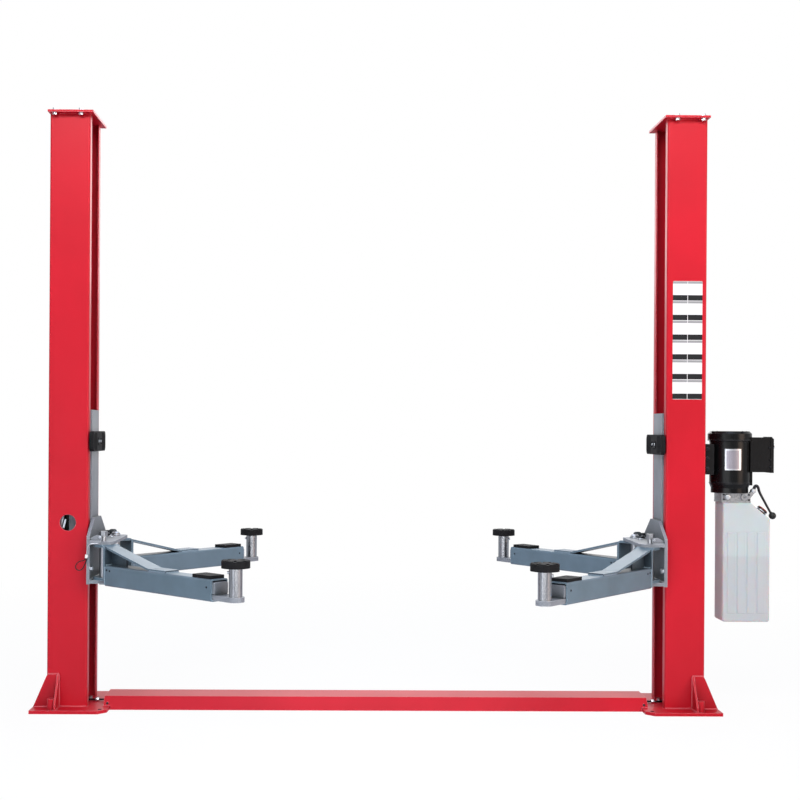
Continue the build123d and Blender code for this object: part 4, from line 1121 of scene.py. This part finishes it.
# filler cap, square to the tank's shoulder: each ring by its low and high end above the middle, and by
# how much wider it is than the cap
filler = {
    "radius": 0.0262, "middle": (1.8605, 0, 0.9404), "outward": (0.6426, 0, 0.7662), "sides": 72,
    "ridge": 0.0008, "flank": 0.0004, "sealWall": 0.005, "sealDip": 0.0015,
}
fillerRings = {
    "fillerCollar": {"low": -0.002, "high": 0.0105, "wider": 0, "finish": "blackPVC", "knurled": True},
    "fillerBand": {"low": 0.0105, "high": 0.0145, "wider": 0.0006, "finish": "zincPlate"},
    "fillerLid": {"low": 0.0145, "high": 0.0225, "wider": -0.0004, "finish": "blackPVC", "knurled": True},
    "fillerSeal": {"low": 0.0225, "high": 0.026, "wider": -0.0012, "finish": "redSilicone", "hollow": True},
}
outward = Vector(filler["outward"])
for name, look in fillerRings.items():
    knurled = look.get("knurled")
    ring = addShape(
        bpy.ops.mesh.primitive_cylinder_add, vertices=filler["sides"] if knurled else 48,
        radius=filler["radius"] + look["wider"], depth=look["high"] - look["low"],
        location=Vector(filler["middle"]) + outward * (look["low"] + look["high"]) / 2,
        rotation=outward.to_track_quat("Z", "Y").to_euler(),
    )
    settle()
    if knurled:
        walls = [face.index for face in ring.data.polygons if abs(face.normal.dot(outward)) < 0.5]
        ridges = set(walls[::2])
        pickFaces(ring, lambda face: face.index in ridges)
        bpy.ops.mesh.inset(thickness=filler["flank"], use_individual=True)
        bpy.ops.transform.shrink_fatten(value=filler["ridge"])
        bpy.ops.object.mode_set(mode="OBJECT")
    if look.get("hollow"):
        pickFaces(ring, lambda face: face.normal.dot(outward) > 0.95 and len(face.verts) > 8)
        bpy.ops.mesh.inset(thickness=filler["sealWall"])
        bpy.ops.transform.translate(value=outward * -filler["sealDip"])
        bpy.ops.object.mode_set(mode="OBJECT")
    softenEdges(ring, 0.0007)
    ring.name = name
    finishPiece(ring, "frame", look["finish"])
    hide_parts("filler_cap")

# lowering lever: a forged rod hooked over its hub, with a moulded ball; x and z from the pivot
lever = {
    "pivot": Vector((1.815, -0.04, 1.049)), "diameter": 0.0115, "hub": 0.011, "hubHalf": 0.006,
    "route": [
        (0.004, 0.006), (0.008, 0.026), (0.024, 0.024), (0.03, -0.004), (0.0468, -0.0343), (0.086, -0.105),
    ],
    "swell": [1.3, 1.3, 1.2, 1.1, 1, 0.9],
}
route = [lever["pivot"] + Vector((x, 0, z)) for x, z in lever["route"]]
rod = makeRod("leverRod", route, lever["diameter"], smooth=True, swell=lever["swell"])
hub = addShape(
    bpy.ops.mesh.primitive_cylinder_add, vertices=32, radius=lever["hub"], depth=2 * lever["hubHalf"],
    location=lever["pivot"], rotation=(radians(90), 0, 0),
)
softenEdges(hub, 0.0012, 3)
forging = joinPieces([rod, hub], "leverForging")
finishPiece(forging, "lever", "blackOxide")
leverBall = {"radius": 0.0175, "x": 0.095, "z": -0.119, "flat": 0.93, "neck": 1.1, "collar": 0.004}
ballPlace = lever["pivot"] + Vector((leverBall["x"], 0, leverBall["z"]))
ball = addShape(
    bpy.ops.mesh.primitive_uv_sphere_add, segments=32, ring_count=20, radius=leverBall["radius"],
)
pickFaces(ball, lambda face: face.calc_center_median().z > leverBall["flat"] * leverBall["radius"])
bpy.ops.transform.resize(value=(leverBall["neck"], leverBall["neck"], 1))
extrudeFaces(z=leverBall["collar"])
bpy.ops.object.mode_set(mode="OBJECT")
ball.rotation_euler = (route[-2] - ballPlace).to_track_quat("Z", "Y").to_euler()
ball.location = ballPlace
finishPiece(joinPieces([ball], "leverBall"), "lever", "blackPVC", 50)
for piece in (forging, ball):
    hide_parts("release_lever")
leverNuts = {"corners": 0.0145, "height": 0.005, "washer": 0.0155, "sheet": 0.001, "y": 0.012}
placements = [(lever["pivot"] + Vector((0, end * leverNuts["y"], 0)), (0, end, 0)) for end in ends.values()]
finishPiece(spread(makeBolt(leverNuts), "leverNuts", placements), "frame", "zincPlate")
print("filler cap and lever made")

# chart sheet on the right post, with rounded corners
(left, right), (low, high) = chart["x"], chart["z"]
sheet = addShape(
    bpy.ops.mesh.primitive_plane_add, size=1, rotation=(radians(90), 0, 0),
    location=((left + right) / 2, chart["y"] - chart["sheet"], (low + high) / 2),
)
sheet.scale = (right - left, high - low, 1)
settle()
bpy.ops.object.mode_set(mode="EDIT")
bpy.ops.mesh.select_mode(type="VERT")
bpy.ops.mesh.select_all(action="SELECT")
bpy.ops.mesh.bevel(offset=chart["corner"], segments=4, affect="VERTICES")
bpy.ops.object.mode_set(mode="OBJECT")
thick = sheet.modifiers.new("thick", "SOLIDIFY")
thick.thickness = chart["sheet"]
thick.offset = -1
bpy.ops.object.modifier_apply(modifier=thick.name)
finishPiece(sheet, "frame", "printedVinyl")
sheet.name = "chartSheet"

# cylinders: a slotted gland nut on each barrel
gland = {
    "radius": 0.0385, "low": 1.158, "high": 1.184, "x": 1.494, "bore": 0.0205, "every": 8, "cut": 0.004,
    "lip": 0.004,
}
low, high = gland["low"], gland["high"]
for side, way in sides.items():
    nut = addShape(
        bpy.ops.mesh.primitive_cylinder_add, vertices=48, radius=gland["radius"], depth=high - low,
        location=(way * gland["x"], 0, (low + high) / 2),
    )
    settle()
    slots = [face.index for face in nut.data.polygons if abs(face.normal.z) < 0.5][::gland["every"]]
    pickFaces(nut, lambda face: face.index in slots)
    bpy.ops.transform.shrink_fatten(value=-gland["cut"])
    pickFaces(nut, lambda face: face.normal.z > 0.9)
    bpy.ops.mesh.inset(thickness=gland["radius"] - gland["bore"] - gland["cut"])
    extrudeFaces(z=gland["lip"])
    bpy.ops.object.mode_set(mode="OBJECT")
    softenEdges(nut, 0.0008)
    nut.name = f"{side}GlandNut"
    finishPiece(nut, "frame", "blackEnamel")

# leaf chain: link plates in lapped rows on pins, along both runs and over the wheel
leafChain = {
    "x": 1.494, "wheelZ": 1.478, "radius": 0.0448, "frontEnd": 0.722, "backEnd": 1.12, "pitch": 0.0127,
    "plates": (-0.0066, -0.0022, 0.0022, 0.0066), "sheet": 0.0018, "tall": 0.0088,
    "pin": 0.0022, "pinLength": 0.0158, "pinRounding": 0.0005,
}


def chainPoints(way):
    x, top, radius = leafChain["x"], leafChain["wheelZ"], leafChain["radius"]
    front = top - leafChain["frontEnd"]
    arc = pi * radius
    total = front + arc + top - leafChain["backEnd"]
    count = int(total / leafChain["pitch"])
    for step in range(count + 1):
        travel = step * leafChain["pitch"]
        if travel < front:
            yield Vector((way * (x - radius), 0, leafChain["frontEnd"] + travel))
        elif travel < front + arc:
            angle = (travel - front) / radius
            yield Vector((way * (x - radius * cos(angle)), 0, top + radius * sin(angle)))
        else:
            yield Vector((way * (x + radius), 0, top - (travel - front - arc)))


link = addShape(
    bpy.ops.mesh.primitive_cylinder_add, vertices=8, radius=leafChain["tall"] / 2, depth=leafChain["sheet"],
)
for way in (1, -1):
    pickFaces(link, lambda face: face.normal.x * way > 0.3)
    bpy.ops.transform.translate(value=(way * leafChain["pitch"] / 2, 0, 0))
bpy.ops.object.mode_set(mode="OBJECT")
settle()
pin = addShape(
    bpy.ops.mesh.primitive_cylinder_add, vertices=8, radius=leafChain["pin"], depth=leafChain["pinLength"],
    rotation=(radians(90), 0, 0),
)
softenEdges(pin, leafChain["pinRounding"], 1)
settle()
across = Vector((0, 1, 0))
for side, way in sides.items():
    points = list(chainPoints(way))
    pieces = []
    for step, (start, end) in enumerate(zip(points, points[1:])):
        along = (end - start).normalized()
        turn = Matrix((along, along.cross(across) * -1, across)).transposed().to_4x4()
        for row, offset in enumerate(leafChain["plates"]):
            if row % 2 != step % 2 and step not in (0, len(points) - 2):
                continue
            copy = bpy.data.objects.new("link", link.data.copy())
            copy.matrix_world = Matrix.Translation((start + end) / 2 + across * offset) @ turn
            scene.collection.objects.link(copy)
            pieces.append(copy)
        copy = bpy.data.objects.new("linkPin", pin.data.copy())
        copy.location = start
        scene.collection.objects.link(copy)
        pieces.append(copy)
    chain = joinPieces(pieces, f"{side}ChainLinks")
    finishPiece(chain, "frame", "oiledSteel")
    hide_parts(f"{side}_lift_chain")
bpy.data.objects.remove(link)
bpy.data.objects.remove(pin)
print("chains linked")

for part in frame["record"]["subparts"]:
    # the pad sleeves take the zinc with its streaks painted in as reflection
    turnedTube = part["node"].endswith("pad_post")
    paintWith(nodes[part["node"]], "reflectStreakZinc" if turnedTube else slotFinish[part["material_slot"]])
paintWith(wire, "strandedSteel")
paintWith(loop, "blackPVC")
print("materials assigned")

bpy.context.view_layer.update()
